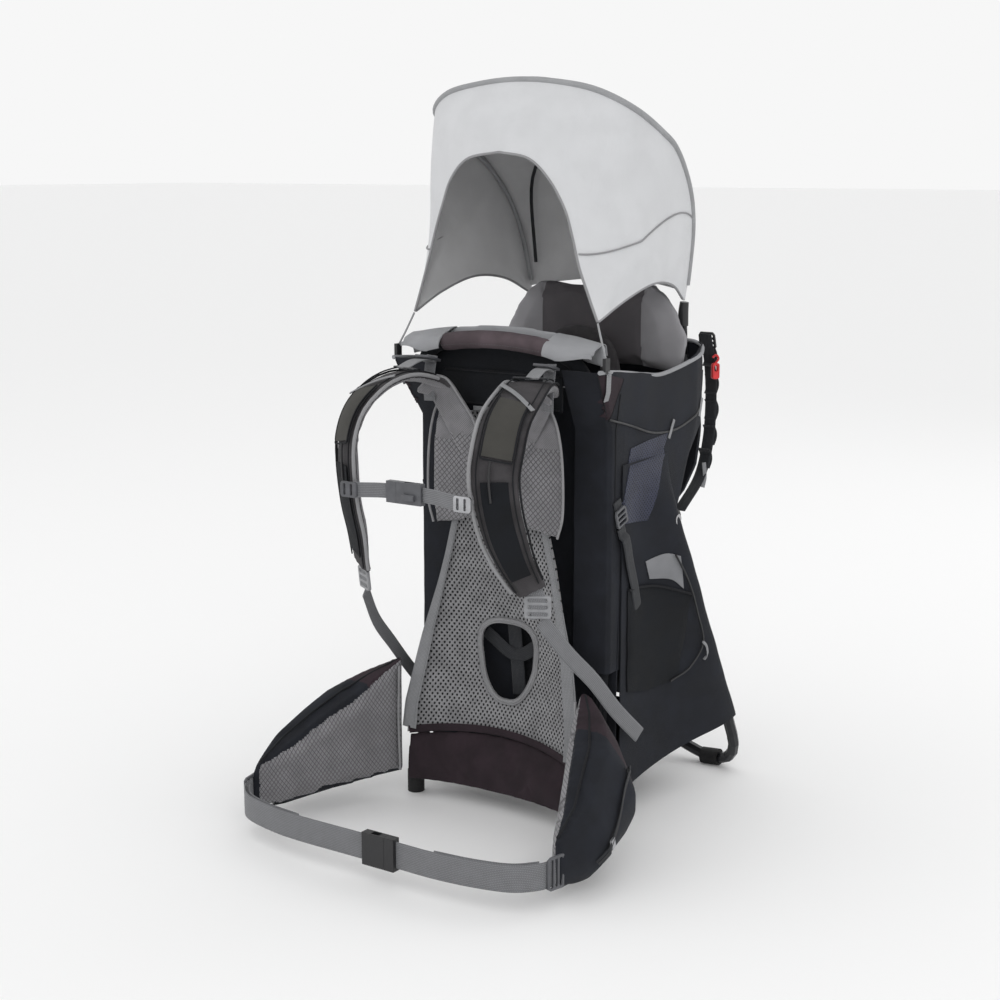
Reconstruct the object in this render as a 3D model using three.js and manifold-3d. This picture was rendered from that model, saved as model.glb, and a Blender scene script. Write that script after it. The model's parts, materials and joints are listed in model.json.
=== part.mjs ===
// A framed child carrier backpack: a tubular frame with a hinged kickstand, a child cockpit
// with a fold-back sunshade, and an adjustable shoulder and hip harness for the wearer.
//
// Millimetres, +Z up. The wearer's side faces -Y and the child's side faces +Y, and the
// model is symmetric about X = 0 apart from its buckles. "left" is -X and "right" is +X.
// While it is built, the floor under the middle of the two front feet is the zero point;
// the finished group is then set on the centre of its own footprint.

import * as THREE from 'three';
import { mergeVertices } from 'three/addons/utils/BufferGeometryUtils.js';
import Module from 'manifold-3d';

const wasm = await Module();
wasm.setup();

// ---------------------------------------------------------------- driving dimensions

const GAP = 0.4;                // between solids that touch on the real object

// frame tubes
const TUBE_R = 9;               // main frame and kickstand tube radius
const LIGHT_TUBE_R = 7;         // cockpit frame and crossbar tube radius
const FRAME_HALF = 157;         // half distance between the main frame's feet
const FRAME_Y = 14;             // the feet's distance behind the wearer's side
const WAIST_HALF = 148;         // half distance between the uprights above the hip belt
const WAIST_Y = 62;             // the uprights bow back here, clear of the mesh
const FRAME_TOP = 711;          // centre line at the top of the main frame's arch
const WAIST_Z = 220;            // the uprights are straight from here up to the shoulder
const SHOULDER_Z = 580;         // where the uprights start to bend into the arch
const FOOT_R = 13;              // rubber end cap radius
const FOOT_H = 34;              // rubber end cap height
const FOOT_SOLE = 10;           // rubber under the tube's end

// kickstand
const PIVOT_Y = 198;            // the leg's centre line at the pivot
const PIVOT_Z = 440;
const LEG_SPREAD = 32;          // how much further out the legs stand at the corner
const STAND_REACH = 190;        // from the pivot back to the crossbar
const CORNER_Z = 78;            // where a leg bends into the crossbar
const STAND_FOOT_X = 160;       // half distance between the kickstand's feet
const STAND_FOOT_R = 12;        // outer radius of a rubber sleeve on the crossbar
const STAND_FOOT_L = 30;
const BAR_RISE = 44;            // how high the crossbar arches between its feet
const PIN_R = 4;
const PIN_HEAD_R = 8;
const BORE_CLEARANCE = 0.3;     // radial clearance round pins and tubes
const HUB_R = 15;
const HUB_W = 17;
const HUB_SLEEVE_L = 48;

// fabric body
const WALL = 3;                 // fabric body wall with its foam
const BODY_HALF = 168;          // outer half width of the cockpit below its rim
const PIVOT_X = BODY_HALF + 16; // the legs stand just outside the body
const RIM_HALF = BODY_HALF + 13; // half width at the front corners of the rim
const RIM_FRONT_Y = -4;         // how far the rim's front corners lean forward
const FLARE_Z = 585;            // the front corners flare out above this height
const BODY_FRONT = 46;          // front face of the bolsters beside the back panel
const BOLSTER_IN = 110;         // inner edge of the bolsters
const BOLSTER_REAR = 84;        // where the bolsters end and the thin side wall starts
const BOLSTER_BOTTOM = 232;
const BODY_REAR = 358;
const CORNER_R = 55;            // rear corner radius in plan
const TAPER_TOP = 570;          // the rear wall slants forward below this height
const TAPER_Y = 235;            // the rear wall's place at its lower edge
const COCKPIT_BOTTOM = PIVOT_Z;
const RIM_FRONT = FRAME_TOP - 35; // rim heights: at the front, its dip and the rear
const RIM_DIP = FRAME_TOP - 56;
const RIM_REAR = FRAME_TOP - 21;
const RIM_DIP_Y = 214;

// cockpit fittings
const RIM_PAD_H = 32;
const RIM_PAD_T = 8;
const RIM_PAD_Y = 34;
const HANDLE_HALF = 96;         // half length of the padded grip on the frame's arch
const HANDLE_R = 15;
const SEAT_HALF = 105;
const SEAT_BACK_Y = 240;
const PAD_T = 18;
const SEAT_Z = 447;
const SEAT_FRONT_Y = 100;
const SEAT_TOP = 632;
const HEADREST_HALF = 166;
const HEADREST_TOP = FRAME_TOP + 72;
const HEADREST_BOTTOM = FRAME_TOP - 66;
const HEADREST_Y = 264;

// sunshade
const SHADE_Y = 307;            // hinge of the shade's hoops
const SHADE_Z = FRAME_TOP + 44;
const SHADE_TOP = FRAME_TOP + 365;
const LUG_X = 137;              // lugs on the cockpit frame, just under the hinge
const LUG_Z = FRAME_TOP - 43;
const LUG_R = 5;
const SHADE_T = 2.4;            // cloth with its hem and piping
const HOOP_R = 3;
const HOOP_INSET = 11;          // the hoops' centre lines inside the cloth
const CORD_R = 1.6;
const HOOK_X = RIM_HALF + 1;    // the rim loops that the tie cords hook on
const HOOK_Y = 12;
const HOOK_Z = RIM_FRONT + 8;

// back panel and harness
const MESH_T = 5;
const MESH_TOP = 604;
const MESH_BOTTOM = 104;
const YOKE_T = 9;
const YOKE_Y = 3;
const STRAP_T = 15;             // shoulder strap thickness
const STRAP_W = 70;
const WEBBING_T = 2;
const STERNUM_Y = -186;
const STERNUM_Z = 516;
const STERNUM_W = 22;           // sternum webbing width
const SLIDER_X = 88;            // where the webbing meets its slider
const STERNUM_FEMALE = [-29, 14];
const STERNUM_MALE = [-46, -29];
const HIP_W = 38;               // hip webbing width
const HIP_Z = 50;
const HIP_Y = -309;
const HIP_FEMALE = [4, 42];
const HIP_MALE = [42, 58];

// ---------------------------------------------------------------- geometry helpers

const v3 = (x, y, z) => new THREE.Vector3(x, y, z);
const lerp = THREE.MathUtils.lerp;
const smooth = (t) => THREE.MathUtils.smoothstep(t, 0, 1);

// Value at t of a row of [place, value] pairs, straight between them.
function table(pairs, t) {
  const last = pairs.length - 1;
  if (t <= pairs[0][0]) return pairs[0][1];
  for (let i = 0; i < last; i += 1) {
    const [a, from] = pairs[i];
    const [b, to] = pairs[i + 1];
    if (t <= b) return lerp(from, to, (t - a) / (b - a));
  }
  return pairs[last][1];
}

function bare(geometry) {
  geometry.deleteAttribute('normal');
  geometry.deleteAttribute('uv');
  return mergeVertices(geometry, 1e-4);
}

function signedVolume(geometry) {
  const at = geometry.attributes.position;
  const index = geometry.index;
  const [a, b, c] = [v3(), v3(), v3()];
  let total = 0;
  for (let i = 0; i < index.count; i += 3) {
    a.fromBufferAttribute(at, index.getX(i));
    b.fromBufferAttribute(at, index.getX(i + 1));
    c.fromBufferAttribute(at, index.getX(i + 2));
    total += a.dot(b.cross(c));
  }
  return total / 6;
}

function turned(geometry) {
  const index = geometry.index;
  for (let i = 0; i < index.count; i += 3) {
    const b = index.getX(i + 1);
    index.setX(i + 1, index.getX(i + 2));
    index.setX(i + 2, b);
  }
  return geometry;
}

// A closed mesh with its faces pointing out.
function closed(geometry) {
  const clean = bare(geometry);
  return signedVolume(clean) < 0 ? turned(clean) : clean;
}

function mirrored(geometry) {
  const copy = geometry.clone();
  copy.scale(-1, 1, 1);
  return turned(copy);
}

// A box of cells whose corners go to point(u, v, w), each of u, v and w from 0 to 1.
function moulded(cells, point) {
  const geometry = new THREE.BoxGeometry(1, 1, 1, ...cells);
  const at = geometry.attributes.position;
  for (let i = 0; i < at.count; i += 1) {
    const p = point(at.getX(i) + 0.5, at.getY(i) + 0.5, at.getZ(i) + 0.5);
    at.setXYZ(i, p.x, p.y, p.z);
  }
  return closed(geometry);
}

function block(low, high) {
  return moulded([1, 1, 1], (u, v, w) => v3(
    lerp(low[0], high[0], u), lerp(low[1], high[1], v), lerp(low[2], high[2], w)));
}

function curve(points) {
  return new THREE.CatmullRomCurve3(points, false, 'centripetal');
}

// Place on a curve, from 0 to 1, where its x, y or z first comes nearest to a value.
function nearestTo(path, axis, value) {
  const tries = 400;
  const off = (u) => Math.abs(path.getPointAt(u)[axis] - value);
  let best = 0;
  for (let i = 1; i <= tries; i += 1) {
    if (off(i / tries) < off(best) - 1e-6) best = i / tries;
  }
  return best;
}

function ring(radius, sides) {
  const points = [];
  for (let i = 0; i < sides; i += 1) {
    const angle = (i / sides) * Math.PI * 2;
    points.push(new THREE.Vector2(Math.cos(angle) * radius, Math.sin(angle) * radius));
  }
  return points;
}

// A round bar along a curve, or a pipe where a bore is given.
function tube(path, radius, steps, sides = 10, bore = 0) {
  const shape = new THREE.Shape(ring(radius, sides));
  if (bore > 0) shape.holes.push(new THREE.Path(ring(bore, sides).reverse()));
  return closed(new THREE.ExtrudeGeometry(shape, { steps, bevelEnabled: false, extrudePath: path }));
}

function rod(from, to, radius, sides = 20) {
  const length = from.distanceTo(to);
  const geometry = new THREE.CylinderGeometry(radius, radius, length, sides);
  const turn = new THREE.Quaternion().setFromUnitVectors(
    v3(0, 1, 0), to.clone().sub(from).normalize());
  geometry.applyQuaternion(turn);
  const middle = from.clone().add(to).multiplyScalar(0.5);
  geometry.translate(middle.x, middle.y, middle.z);
  return closed(geometry);
}

// Webbing or a pad along a curve. `across` is the rough direction of its width, or gives
// it from the direction of the curve; width(u) and thickness(u) are its sizes at u.
function ribbon(path, across, width, thickness, steps, crown = 1) {
  return moulded([steps, crown, 1], (u, v, w) => {
    const along = path.getTangentAt(u);
    const aim = typeof across === 'function' ? across(along) : across;
    const wide = aim.clone().addScaledVector(along, -aim.dot(along)).normalize();
    const up = along.clone().cross(wide);
    const s = 2 * v - 1;
    const thin = thickness(u) * (crown > 1 ? 1 - 0.45 * s * s : 1);
    return path.getPointAt(u)
      .addScaledVector(wide, s * width(u) / 2)
      .addScaledVector(up, (w - 0.5) * thin);
  });
}

// A flat outline of [a, b] points, extruded along X between two places.
function slab(outline, x0, x1) {
  const shape = new THREE.Shape(outline.map(([y, z]) => new THREE.Vector2(y, z)));
  const geometry = new THREE.ExtrudeGeometry(shape, { depth: x1 - x0, bevelEnabled: false });
  geometry.applyMatrix4(new THREE.Matrix4().set(0, 0, 1, x0, 1, 0, 0, 0, 0, 1, 0, 0, 0, 0, 0, 1));
  return closed(geometry);
}

function solid(geometry) {
  const clean = closed(geometry.index ? geometry.clone() : geometry);
  return new wasm.Manifold(new wasm.Mesh({
    numProp: 3,
    vertProperties: new Float32Array(clean.attributes.position.array),
    triVerts: new Uint32Array(clean.index.array),
  }));
}

function surface(manifold) {
  const mesh = manifold.getMesh();
  const geometry = new THREE.BufferGeometry();
  geometry.setAttribute('position', new THREE.BufferAttribute(mesh.vertProperties, 3));
  geometry.setIndex(new THREE.BufferAttribute(mesh.triVerts, 1));
  return geometry;
}

function cut(geometry, ...tools) {
  return surface(tools.reduce((left, tool) => left.subtract(solid(tool)), solid(geometry)));
}

function join(...geometries) {
  return surface(geometries.map(solid).reduce((a, b) => a.add(b)));
}

// ---------------------------------------------------------------- materials and nodes

function finish(color, roughness, metalness = 0) {
  return { color, roughness, metalness };
}

const BODY_FABRIC = finish(0x24272c, 0.85);
const PLUM_FABRIC = finish(0x2c262b, 0.85);
const GREY_MESH = finish(0x77777a, 0.9);
const GREY_WEBBING = finish(0x6a6b6e, 0.8);
const DARK_WEBBING = finish(0x2a2c30, 0.8);
const RIM_FABRIC = finish(0x8a8b8e, 0.85);
const GRIP_FABRIC = finish(0x5d575b, 0.85);
const PAD_FABRIC = finish(0x6b696c, 0.85);
const SHADE_FABRIC = finish(0xd3d4d4, 0.8);
const SHADE_TRIM = finish(0x9a9b9c, 0.7);
const ALUMINIUM = finish(0x1b1c1e, 0.45, 0.6);
const RUBBER = finish(0x141414, 0.9);
const BUCKLE = finish(0x55565a, 0.5);
const STEEL = finish(0x9a9a9a, 0.3, 0.9);

const pack = new THREE.Group();

function add(name, geometry, look) {
  const mesh = new THREE.Mesh(geometry, new THREE.MeshStandardMaterial(look));
  mesh.name = name;
  pack.add(mesh);
  return mesh;
}

// Adds a right-hand piece and its mirror image.
function addPair(name, geometry, look) {
  add(`${name}_right`, geometry, look);
  add(`${name}_left`, mirrored(geometry), look);
}

function bothSides(halfPoints) {
  const left = halfPoints.map((p) => v3(-p.x, p.y, p.z)).reverse();
  return [...left, ...halfPoints.filter((p) => p.x > 0)];
}

// ---------------------------------------------------------------- main frame

function archHeight(x) {
  const t = Math.min(1, Math.abs(x) / FRAME_HALF);
  return FRAME_TOP - 24 * t * t;
}

const BAR_Z = 84;
const FRAME_STEPS = 56;
const STAND_STEPS = 64;
const FRAME_SIDES = 8;

const archPath = curve(bothSides([
  v3(0, 5, FRAME_TOP),
  v3(50, 6, archHeight(50)),
  v3(HANDLE_HALF, 9, archHeight(HANDLE_HALF)),
  v3(WAIST_HALF - 16, 18, FRAME_TOP - 32),
  v3(WAIST_HALF - 2, 42, FRAME_TOP - 78),
  v3(WAIST_HALF, WAIST_Y, SHOULDER_Z),
  v3(WAIST_HALF, WAIST_Y, WAIST_Z),
  v3(WAIST_HALF + 6, WAIST_Y - 22, WAIST_Z / 2),
  v3(FRAME_HALF, FRAME_Y, FOOT_H + 8),
  v3(FRAME_HALF, FRAME_Y, FOOT_SOLE + GAP),
]));

function buildMainFrame() {
  add('main_frame', tube(archPath, TUBE_R, FRAME_STEPS, FRAME_SIDES), ALUMINIUM);

  const cap = rod(v3(FRAME_HALF, FRAME_Y, 0), v3(FRAME_HALF, FRAME_Y, FOOT_H), FOOT_R);
  const socket = rod(v3(FRAME_HALF, FRAME_Y, FOOT_SOLE), v3(FRAME_HALF, FRAME_Y, FOOT_H + 1),
    TUBE_R + BORE_CLEARANCE + 0.6);
  addPair('front_foot', cut(cap, socket), RUBBER);

  const end = archPath.getPointAt(nearestTo(archPath, 'z', BAR_Z));
  const bar = curve(bothSides([v3(0, end.y + 14, BAR_Z), v3(end.x * -0.6, end.y + 8, BAR_Z),
    v3(-end.x, end.y, BAR_Z)]));
  const frame = tube(archPath, TUBE_R + GAP, FRAME_STEPS, FRAME_SIDES);
  const bowed = solid(cut(tube(bar, LIGHT_TUBE_R, 10, 8), frame)).decompose();
  const middle = bowed.sort((a, b) => b.volume() - a.volume())[0];
  add('lower_crossbar', surface(middle), ALUMINIUM);
}

// The cockpit frame runs back from the uprights at pivot height, up the rear corners and
// over behind the child's head.
const inner = BODY_HALF - WALL - LIGHT_TUBE_R - 3;
const upright = archPath.getPointAt(nearestTo(archPath, 'z', PIVOT_Z));  // the left one
const cockpitPath = curve(bothSides([
  v3(0, BODY_REAR - 14, 700),
  v3(inner - 50, BODY_REAR - 19, 688),
  v3(inner - 14, BODY_REAR - 36, 640),
  v3(inner - 3, BODY_REAR - 76, 560),
  v3(inner, PIVOT_Y + 36, PIVOT_Z + 36),
  v3(inner, PIVOT_Y + 16, PIVOT_Z + 8),
  v3(inner, PIVOT_Y - 14, PIVOT_Z),
  v3(inner - 2, (PIVOT_Y + upright.y) / 2, PIVOT_Z),
  v3(-upright.x, upright.y + TUBE_R + GAP + 0.4, PIVOT_Z),
]));

function buildCockpitFrame() {
  // two lugs stand up from the rear corners and carry the sunshade's hinge
  const foot = cockpitPath.getPointAt(nearestTo(cockpitPath, 'z', LUG_Z));
  const lug = rod(v3(-foot.x, foot.y, foot.z), v3(LUG_X, SHADE_Y + 2, SHADE_Z - 12), LUG_R, 8);
  const hoopTube = tube(cockpitPath, LIGHT_TUBE_R, 64, 8);
  add('cockpit_frame', join(hoopTube, lug, mirrored(lug)), ALUMINIUM);

  const wall = BODY_HALF - WALL;
  const boss = BODY_HALF + 4;
  const pin = (x0, x1, radius) => rod(v3(x0, PIVOT_Y, PIVOT_Z), v3(x1, PIVOT_Y, PIVOT_Z), radius);
  const box = block([inner - 10, PIVOT_Y - 20, PIVOT_Z - 14], [wall - 1, PIVOT_Y + 10, PIVOT_Z + 18]);
  const bore = tube(cockpitPath, LIGHT_TUBE_R + BORE_CLEARANCE, 64, 8);
  const bracket = join(box, pin(wall - 3, boss, HUB_R - 2));
  addPair('pivot_bracket', cut(bracket, bore, pin(wall - 1, boss + 5, PIN_R + BORE_CLEARANCE)), BUCKLE);

  const head = PIVOT_X + HUB_W / 2 + GAP;
  addPair('hinge_pin', join(pin(wall - 1 + GAP, head + 1, PIN_R), pin(head, head + 4, PIN_HEAD_R)), STEEL);
}

// ---------------------------------------------------------------- kickstand

function legPoint(z) {
  const t = (PIVOT_Z - z) / PIVOT_Z;
  return v3(PIVOT_X + LEG_SPREAD * t * 1.15, PIVOT_Y + STAND_REACH * t * 0.97, z);
}

const footY = PIVOT_Y + STAND_REACH;
const footZ = STAND_FOOT_R - 1;

const standPath = curve(bothSides([
  v3(0, footY - 12, footZ + BAR_RISE),
  v3(60, footY - 10, footZ + BAR_RISE * 0.86),
  v3(STAND_FOOT_X - 42, footY - 4, footZ + BAR_RISE * 0.3),
  v3(STAND_FOOT_X, footY, footZ),
  v3(STAND_FOOT_X + 30, footY - 4, footZ + 6),
  v3(PIVOT_X + LEG_SPREAD - 6, footY - 20, CORNER_Z * 0.55),
  legPoint(CORNER_Z + 20),
  legPoint((CORNER_Z + PIVOT_Z) / 2),
  legPoint(PIVOT_Z - HUB_R),
]));

function buildKickstand() {
  const frame = tube(standPath, TUBE_R, STAND_STEPS, FRAME_SIDES);
  add('kickstand_frame', frame, ALUMINIUM);

  const half = HUB_W / 2;
  const eye = rod(v3(PIVOT_X - half, PIVOT_Y, PIVOT_Z), v3(PIVOT_X + half, PIVOT_Y, PIVOT_Z), HUB_R);
  const sleeve = rod(legPoint(PIVOT_Z - 11), legPoint(PIVOT_Z - HUB_SLEEVE_L), TUBE_R + 3);
  const pinHole = rod(v3(PIVOT_X - 20, PIVOT_Y, PIVOT_Z), v3(PIVOT_X + 20, PIVOT_Y, PIVOT_Z),
    PIN_R + BORE_CLEARANCE);
  const socket = rod(legPoint(PIVOT_Z - HUB_R + GAP), legPoint(PIVOT_Z - HUB_SLEEVE_L - 20),
    TUBE_R + BORE_CLEARANCE + 0.2);
  const flat = block([PIVOT_X - half - 9, PIVOT_Y - 40, PIVOT_Z - 80],
    [PIVOT_X - half, PIVOT_Y + 60, PIVOT_Z + 40]);
  addPair('kickstand_hub', cut(join(eye, sleeve), pinHole, socket, flat), BUCKLE);

  const reach = STAND_FOOT_L / 2;
  const bore = tube(standPath, TUBE_R + BORE_CLEARANCE, STAND_STEPS, FRAME_SIDES);
  const sole = rod(v3(STAND_FOOT_X - reach, footY, footZ), v3(STAND_FOOT_X + reach, footY, footZ + 2),
    STAND_FOOT_R + 1.5);
  const floor = block([-400, footY - 60, -40], [400, footY + 60, 0]);
  addPair('kickstand_foot', cut(sole, bore, floor), RUBBER);
}

// ---------------------------------------------------------------- fabric body

// Half of the body's outline in plan, from the bolster's inner edge to the rear centre.
const NOSE_R = 8;
const bodyOutline = new THREE.Path()
  .moveTo(BOLSTER_IN, BODY_FRONT)
  .lineTo(BODY_HALF - NOSE_R, BODY_FRONT)
  .absarc(BODY_HALF - NOSE_R, BODY_FRONT + NOSE_R, NOSE_R, -Math.PI / 2, 0)
  .lineTo(BODY_HALF, BODY_REAR - CORNER_R)
  .absarc(BODY_HALF - CORNER_R, BODY_REAR - CORNER_R, CORNER_R, 0, Math.PI / 2)
  .lineTo(-1, BODY_REAR);

function rimHeight(y) {
  if (y < RIM_DIP_Y) return lerp(RIM_FRONT, RIM_DIP, smooth((y - BODY_FRONT) / (RIM_DIP_Y - BODY_FRONT)));
  return lerp(RIM_DIP, RIM_REAR, smooth((y - RIM_DIP_Y) / (BODY_REAR - RIM_DIP_Y)));
}

// Where a point of the outline ends up at height z: the rear slants in towards the seat,
// and the front corners flare out and forward below the rim.
function bodyPlace(x, y, z) {
  const low = Math.min(1, (z - COCKPIT_BOTTOM) / (TAPER_TOP - COCKPIT_BOTTOM));
  const rear = y > TAPER_Y ? lerp(TAPER_Y, y, 0.06 + 0.94 * Math.max(0, low)) : y;
  const flare = smooth((z - FLARE_Z) / (RIM_FRONT - FLARE_Z));
  const front = 1 - smooth((y - BODY_FRONT) / (RIM_DIP_Y - BODY_FRONT));
  const spread = 1 + (RIM_HALF / BODY_HALF - 1) * flare * front;
  return v3(x * spread, rear - (BODY_FRONT - RIM_FRONT_Y) * flare * front, z);
}

function buildBody() {
  const rows = [0, 0.28, 0.5, 0.66, 0.8, 0.9, 1];
  const columns = [0, 0.085, 0.105, 0.122, 0.15, 0.18, 0.187, 0.27, 0.36, 0.44, 0.52, 0.6, 0.68, 0.72,
    0.76, 0.8, 0.84, 0.92, 1];
  const half = moulded([columns.length - 1, rows.length - 1, 1], (u, v, w) => {
    const at = columns[Math.round(u * (columns.length - 1))];
    const p = bodyOutline.getPointAt(at);
    const t = bodyOutline.getTangentAt(at);
    const bottom = p.y < BOLSTER_REAR ? BOLSTER_BOTTOM : COCKPIT_BOTTOM;
    const z = lerp(bottom, rimHeight(p.y), rows[Math.round(v * (rows.length - 1))]);
    return bodyPlace(p.x - t.y * WALL * w, p.y + t.x * WALL * w, z);
  });
  const notch = rod(v3(-400, PIVOT_Y, PIVOT_Z), v3(400, PIVOT_Y, PIVOT_Z), HUB_R + 8, 12);
  add('cockpit_shell', cut(join(half, mirrored(half)), notch), BODY_FABRIC);

  const panel = block([6 - BOLSTER_IN, 21, 612], [BOLSTER_IN - 6, 24, 664]);
  add('upper_front_panel', panel, BODY_FABRIC);
}

// The storage compartment under the seat hangs between the front uprights and the
// kickstand's legs, and folds up with them.
function buildStorage() {
  const front = BOLSTER_REAR + 6;
  const top = COCKPIT_BOTTOM - 4;
  const hem = legPoint(CORNER_Z + 27);
  const flare = hem.x - TUBE_R - 3 - BODY_HALF;
  const side = moulded([6, 6, 1], (u, v, w) => {
    const z = lerp(lerp(42, hem.z, u), top, v);
    const rear = legPoint(z).y - TUBE_R - 9;
    const x = BODY_HALF - WALL + flare * u * (1 - v);
    return v3(x + WALL * w, lerp(front, rear, u), z);
  });
  addPair('gusset', side, BODY_FABRIC);

  const floor = moulded([4, 4, 1], (u, v, w) => {
    const z = lerp(42, hem.z, v) + WALL * w;
    const wide = BODY_HALF - WALL - 2 + flare * v;
    return v3(lerp(-wide, wide, u), lerp(front, legPoint(hem.z).y - 24, v), z);
  });
  add('storage_floor', floor, BODY_FABRIC);

  const rear = moulded([4, 6, 1], (u, v, w) => {
    const leg = legPoint(lerp(hem.z, PIVOT_Z - 44, v));
    const wide = leg.x - TUBE_R - 6;
    return v3(lerp(-wide, wide, u), leg.y + WALL * w, leg.z);
  });
  add('storage_rear_panel', rear, BODY_FABRIC);
}

// ---------------------------------------------------------------- cockpit fittings

function buildCockpitFittings() {
  const grip = curve([-1, -0.5, 0, 0.5, 1].map((s) => archPath.getPointAt(
    nearestTo(archPath, 'x', s * HANDLE_HALF))));
  const frame = tube(archPath, TUBE_R + GAP, FRAME_STEPS, FRAME_SIDES);
  add('handle_pad', cut(tube(grip, HANDLE_R, 14, 10), frame), GRIP_FABRIC);

  const rim = curve(bothSides([
    v3(0, RIM_PAD_Y, FRAME_TOP + 3),
    v3(60, RIM_PAD_Y, FRAME_TOP),
    v3(120, RIM_PAD_Y, FRAME_TOP - 8),
    v3(RIM_HALF - 12, RIM_PAD_Y - 6, FRAME_TOP - 16),
  ]));
  add('front_rim_pad', ribbon(rim, v3(0, 0, 1), () => RIM_PAD_H, () => RIM_PAD_T, 14), RIM_FABRIC);

  const seat = slab([
    [SEAT_FRONT_Y, SEAT_Z], [SEAT_BACK_Y - 25, SEAT_Z], [SEAT_BACK_Y + PAD_T, SEAT_Z + 70],
    [SEAT_BACK_Y + PAD_T, SEAT_TOP], [SEAT_BACK_Y, SEAT_TOP], [SEAT_BACK_Y, SEAT_Z + 74],
    [SEAT_BACK_Y - 34, SEAT_Z + PAD_T], [SEAT_FRONT_Y, SEAT_Z + PAD_T]], -SEAT_HALF, SEAT_HALF);
  add('child_seat', seat, PAD_FABRIC);

  const headrest = moulded([16, 4, 2], (u, v, w) => {
    const s = 2 * u - 1;
    const fall = Math.max(0, Math.abs(s) - 0.55) / 0.45;
    const top = HEADREST_TOP - 78 * fall * fall;
    const y = HEADREST_Y + 6 - 6 * s * s + w * (24 - 8 * s * s);
    return v3(s * (HEADREST_HALF - 10 * (1 - v) ** 2), y, lerp(HEADREST_BOTTOM, top, v));
  });
  add('headrest', headrest, PAD_FABRIC);

  const halo = curve(bothSides([
    v3(0, SEAT_BACK_Y - 12, 700),
    v3(42, SEAT_BACK_Y - 12, 686),
    v3(62, SEAT_BACK_Y - 13, 630),
    v3(52, SEAT_BACK_Y - 20, 560),
    v3(30, SEAT_BACK_Y - 34, 516),
  ]));
  const facing = (along) => along.clone().cross(v3(0, 1, 0));
  add('halo_harness', ribbon(halo, facing, () => 34, () => 12, 28), PAD_FABRIC);
  add('seat_buckle', block([-17, SEAT_BACK_Y - 50, 470], [17, SEAT_BACK_Y - 38, 502]), BUCKLE);
}

// ---------------------------------------------------------------- sunshade

// The shade's outer edge: a hoop from the hinge on one side, up and forward over the
// child's head, and back to the hinge on the other side.
const hoopHalf = [
  v3(140, SHADE_Y, SHADE_Z),
  v3(146, SHADE_Y - 1, SHADE_Z + 37),
  v3(158, SHADE_Y - 12, SHADE_Z + 110),
  v3(168, SHADE_Y - 42, SHADE_Z + 168),
  v3(178, SHADE_Y - 98, SHADE_Z + 222),
  v3(182, SHADE_Y - 152, SHADE_Z + 249),
  v3(172, SHADE_Y - 212, SHADE_Z + 279),
  v3(129, SHADE_Y - 241, SHADE_TOP - 17),
  v3(70, SHADE_Y - 246, SHADE_TOP - 5),
  v3(0, SHADE_Y - 249, SHADE_TOP),
];
const hoop = curve([...hoopHalf, ...hoopHalf.slice(0, -1).reverse().map((p) => v3(-p.x, p.y, p.z))]);

// The front opening: an arch whose feet are the corners that the cords tie down, and
// from those corners a hem that runs back to the hinge.
const archHalf = [
  v3(160, 24, SHADE_Z - 13),
  v3(146, 22, SHADE_Z + 23),
  v3(131, 20, SHADE_Z + 64),
  v3(119, 21, SHADE_Z + 106),
  v3(106, 21, SHADE_Z + 143),
  v3(84, 14, SHADE_Z + 183),
  v3(52, 11, SHADE_Z + 211),
  v3(0, 14, SHADE_Z + 220),
];
const hemHalf = [
  v3(140, SHADE_Y - 4, SHADE_Z),
  v3(152, SHADE_Y - 60, SHADE_Z + 26),
  v3(160, SHADE_Y - 130, SHADE_Z + 32),
  v3(162, SHADE_Y - 210, SHADE_Z + 14),
  v3(160, 24, SHADE_Z - 13),
];
const hemCurve = curve(hemHalf);
const archCurve = curve(archHalf);
const HEM_SHARE = 0.42;         // share of the hoop's half length that faces the hem

// The lower or front edge of the cloth at t along the hoop: 0 at the right hinge, 0.5 at
// the top and 1 at the left hinge.
function clothEdge(t) {
  const side = t > 0.5 ? -1 : 1;
  const s = (t > 0.5 ? 1 - t : t) * 2;
  const p = s < HEM_SHARE
    ? hemCurve.getPointAt(s / HEM_SHARE)
    : archCurve.getPointAt((s - HEM_SHARE) / (1 - HEM_SHARE));
  return v3(p.x * side, p.y, p.z);
}

// The roof and back of the shade, domed between the hoop's two sides.
function roofPoint(s, t) {
  const p = hoop.getPointAt(t * 0.5);
  const dome = 1 - s * s;
  const back = table([[0, 26], [0.3, 50], [0.55, 62], [0.8, 40], [1, 0]], t);
  const up = table([[0, 14], [0.3, 14], [0.55, 24], [0.8, 14], [1, 0]], t);
  return v3(p.x * s, p.y + back * dome, p.z + up * dome);
}

function inwards(p, distance) {
  const middle = v3(0, 150, SHADE_Z + 75);
  return p.clone().addScaledVector(middle.sub(p).normalize(), distance);
}

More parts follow.
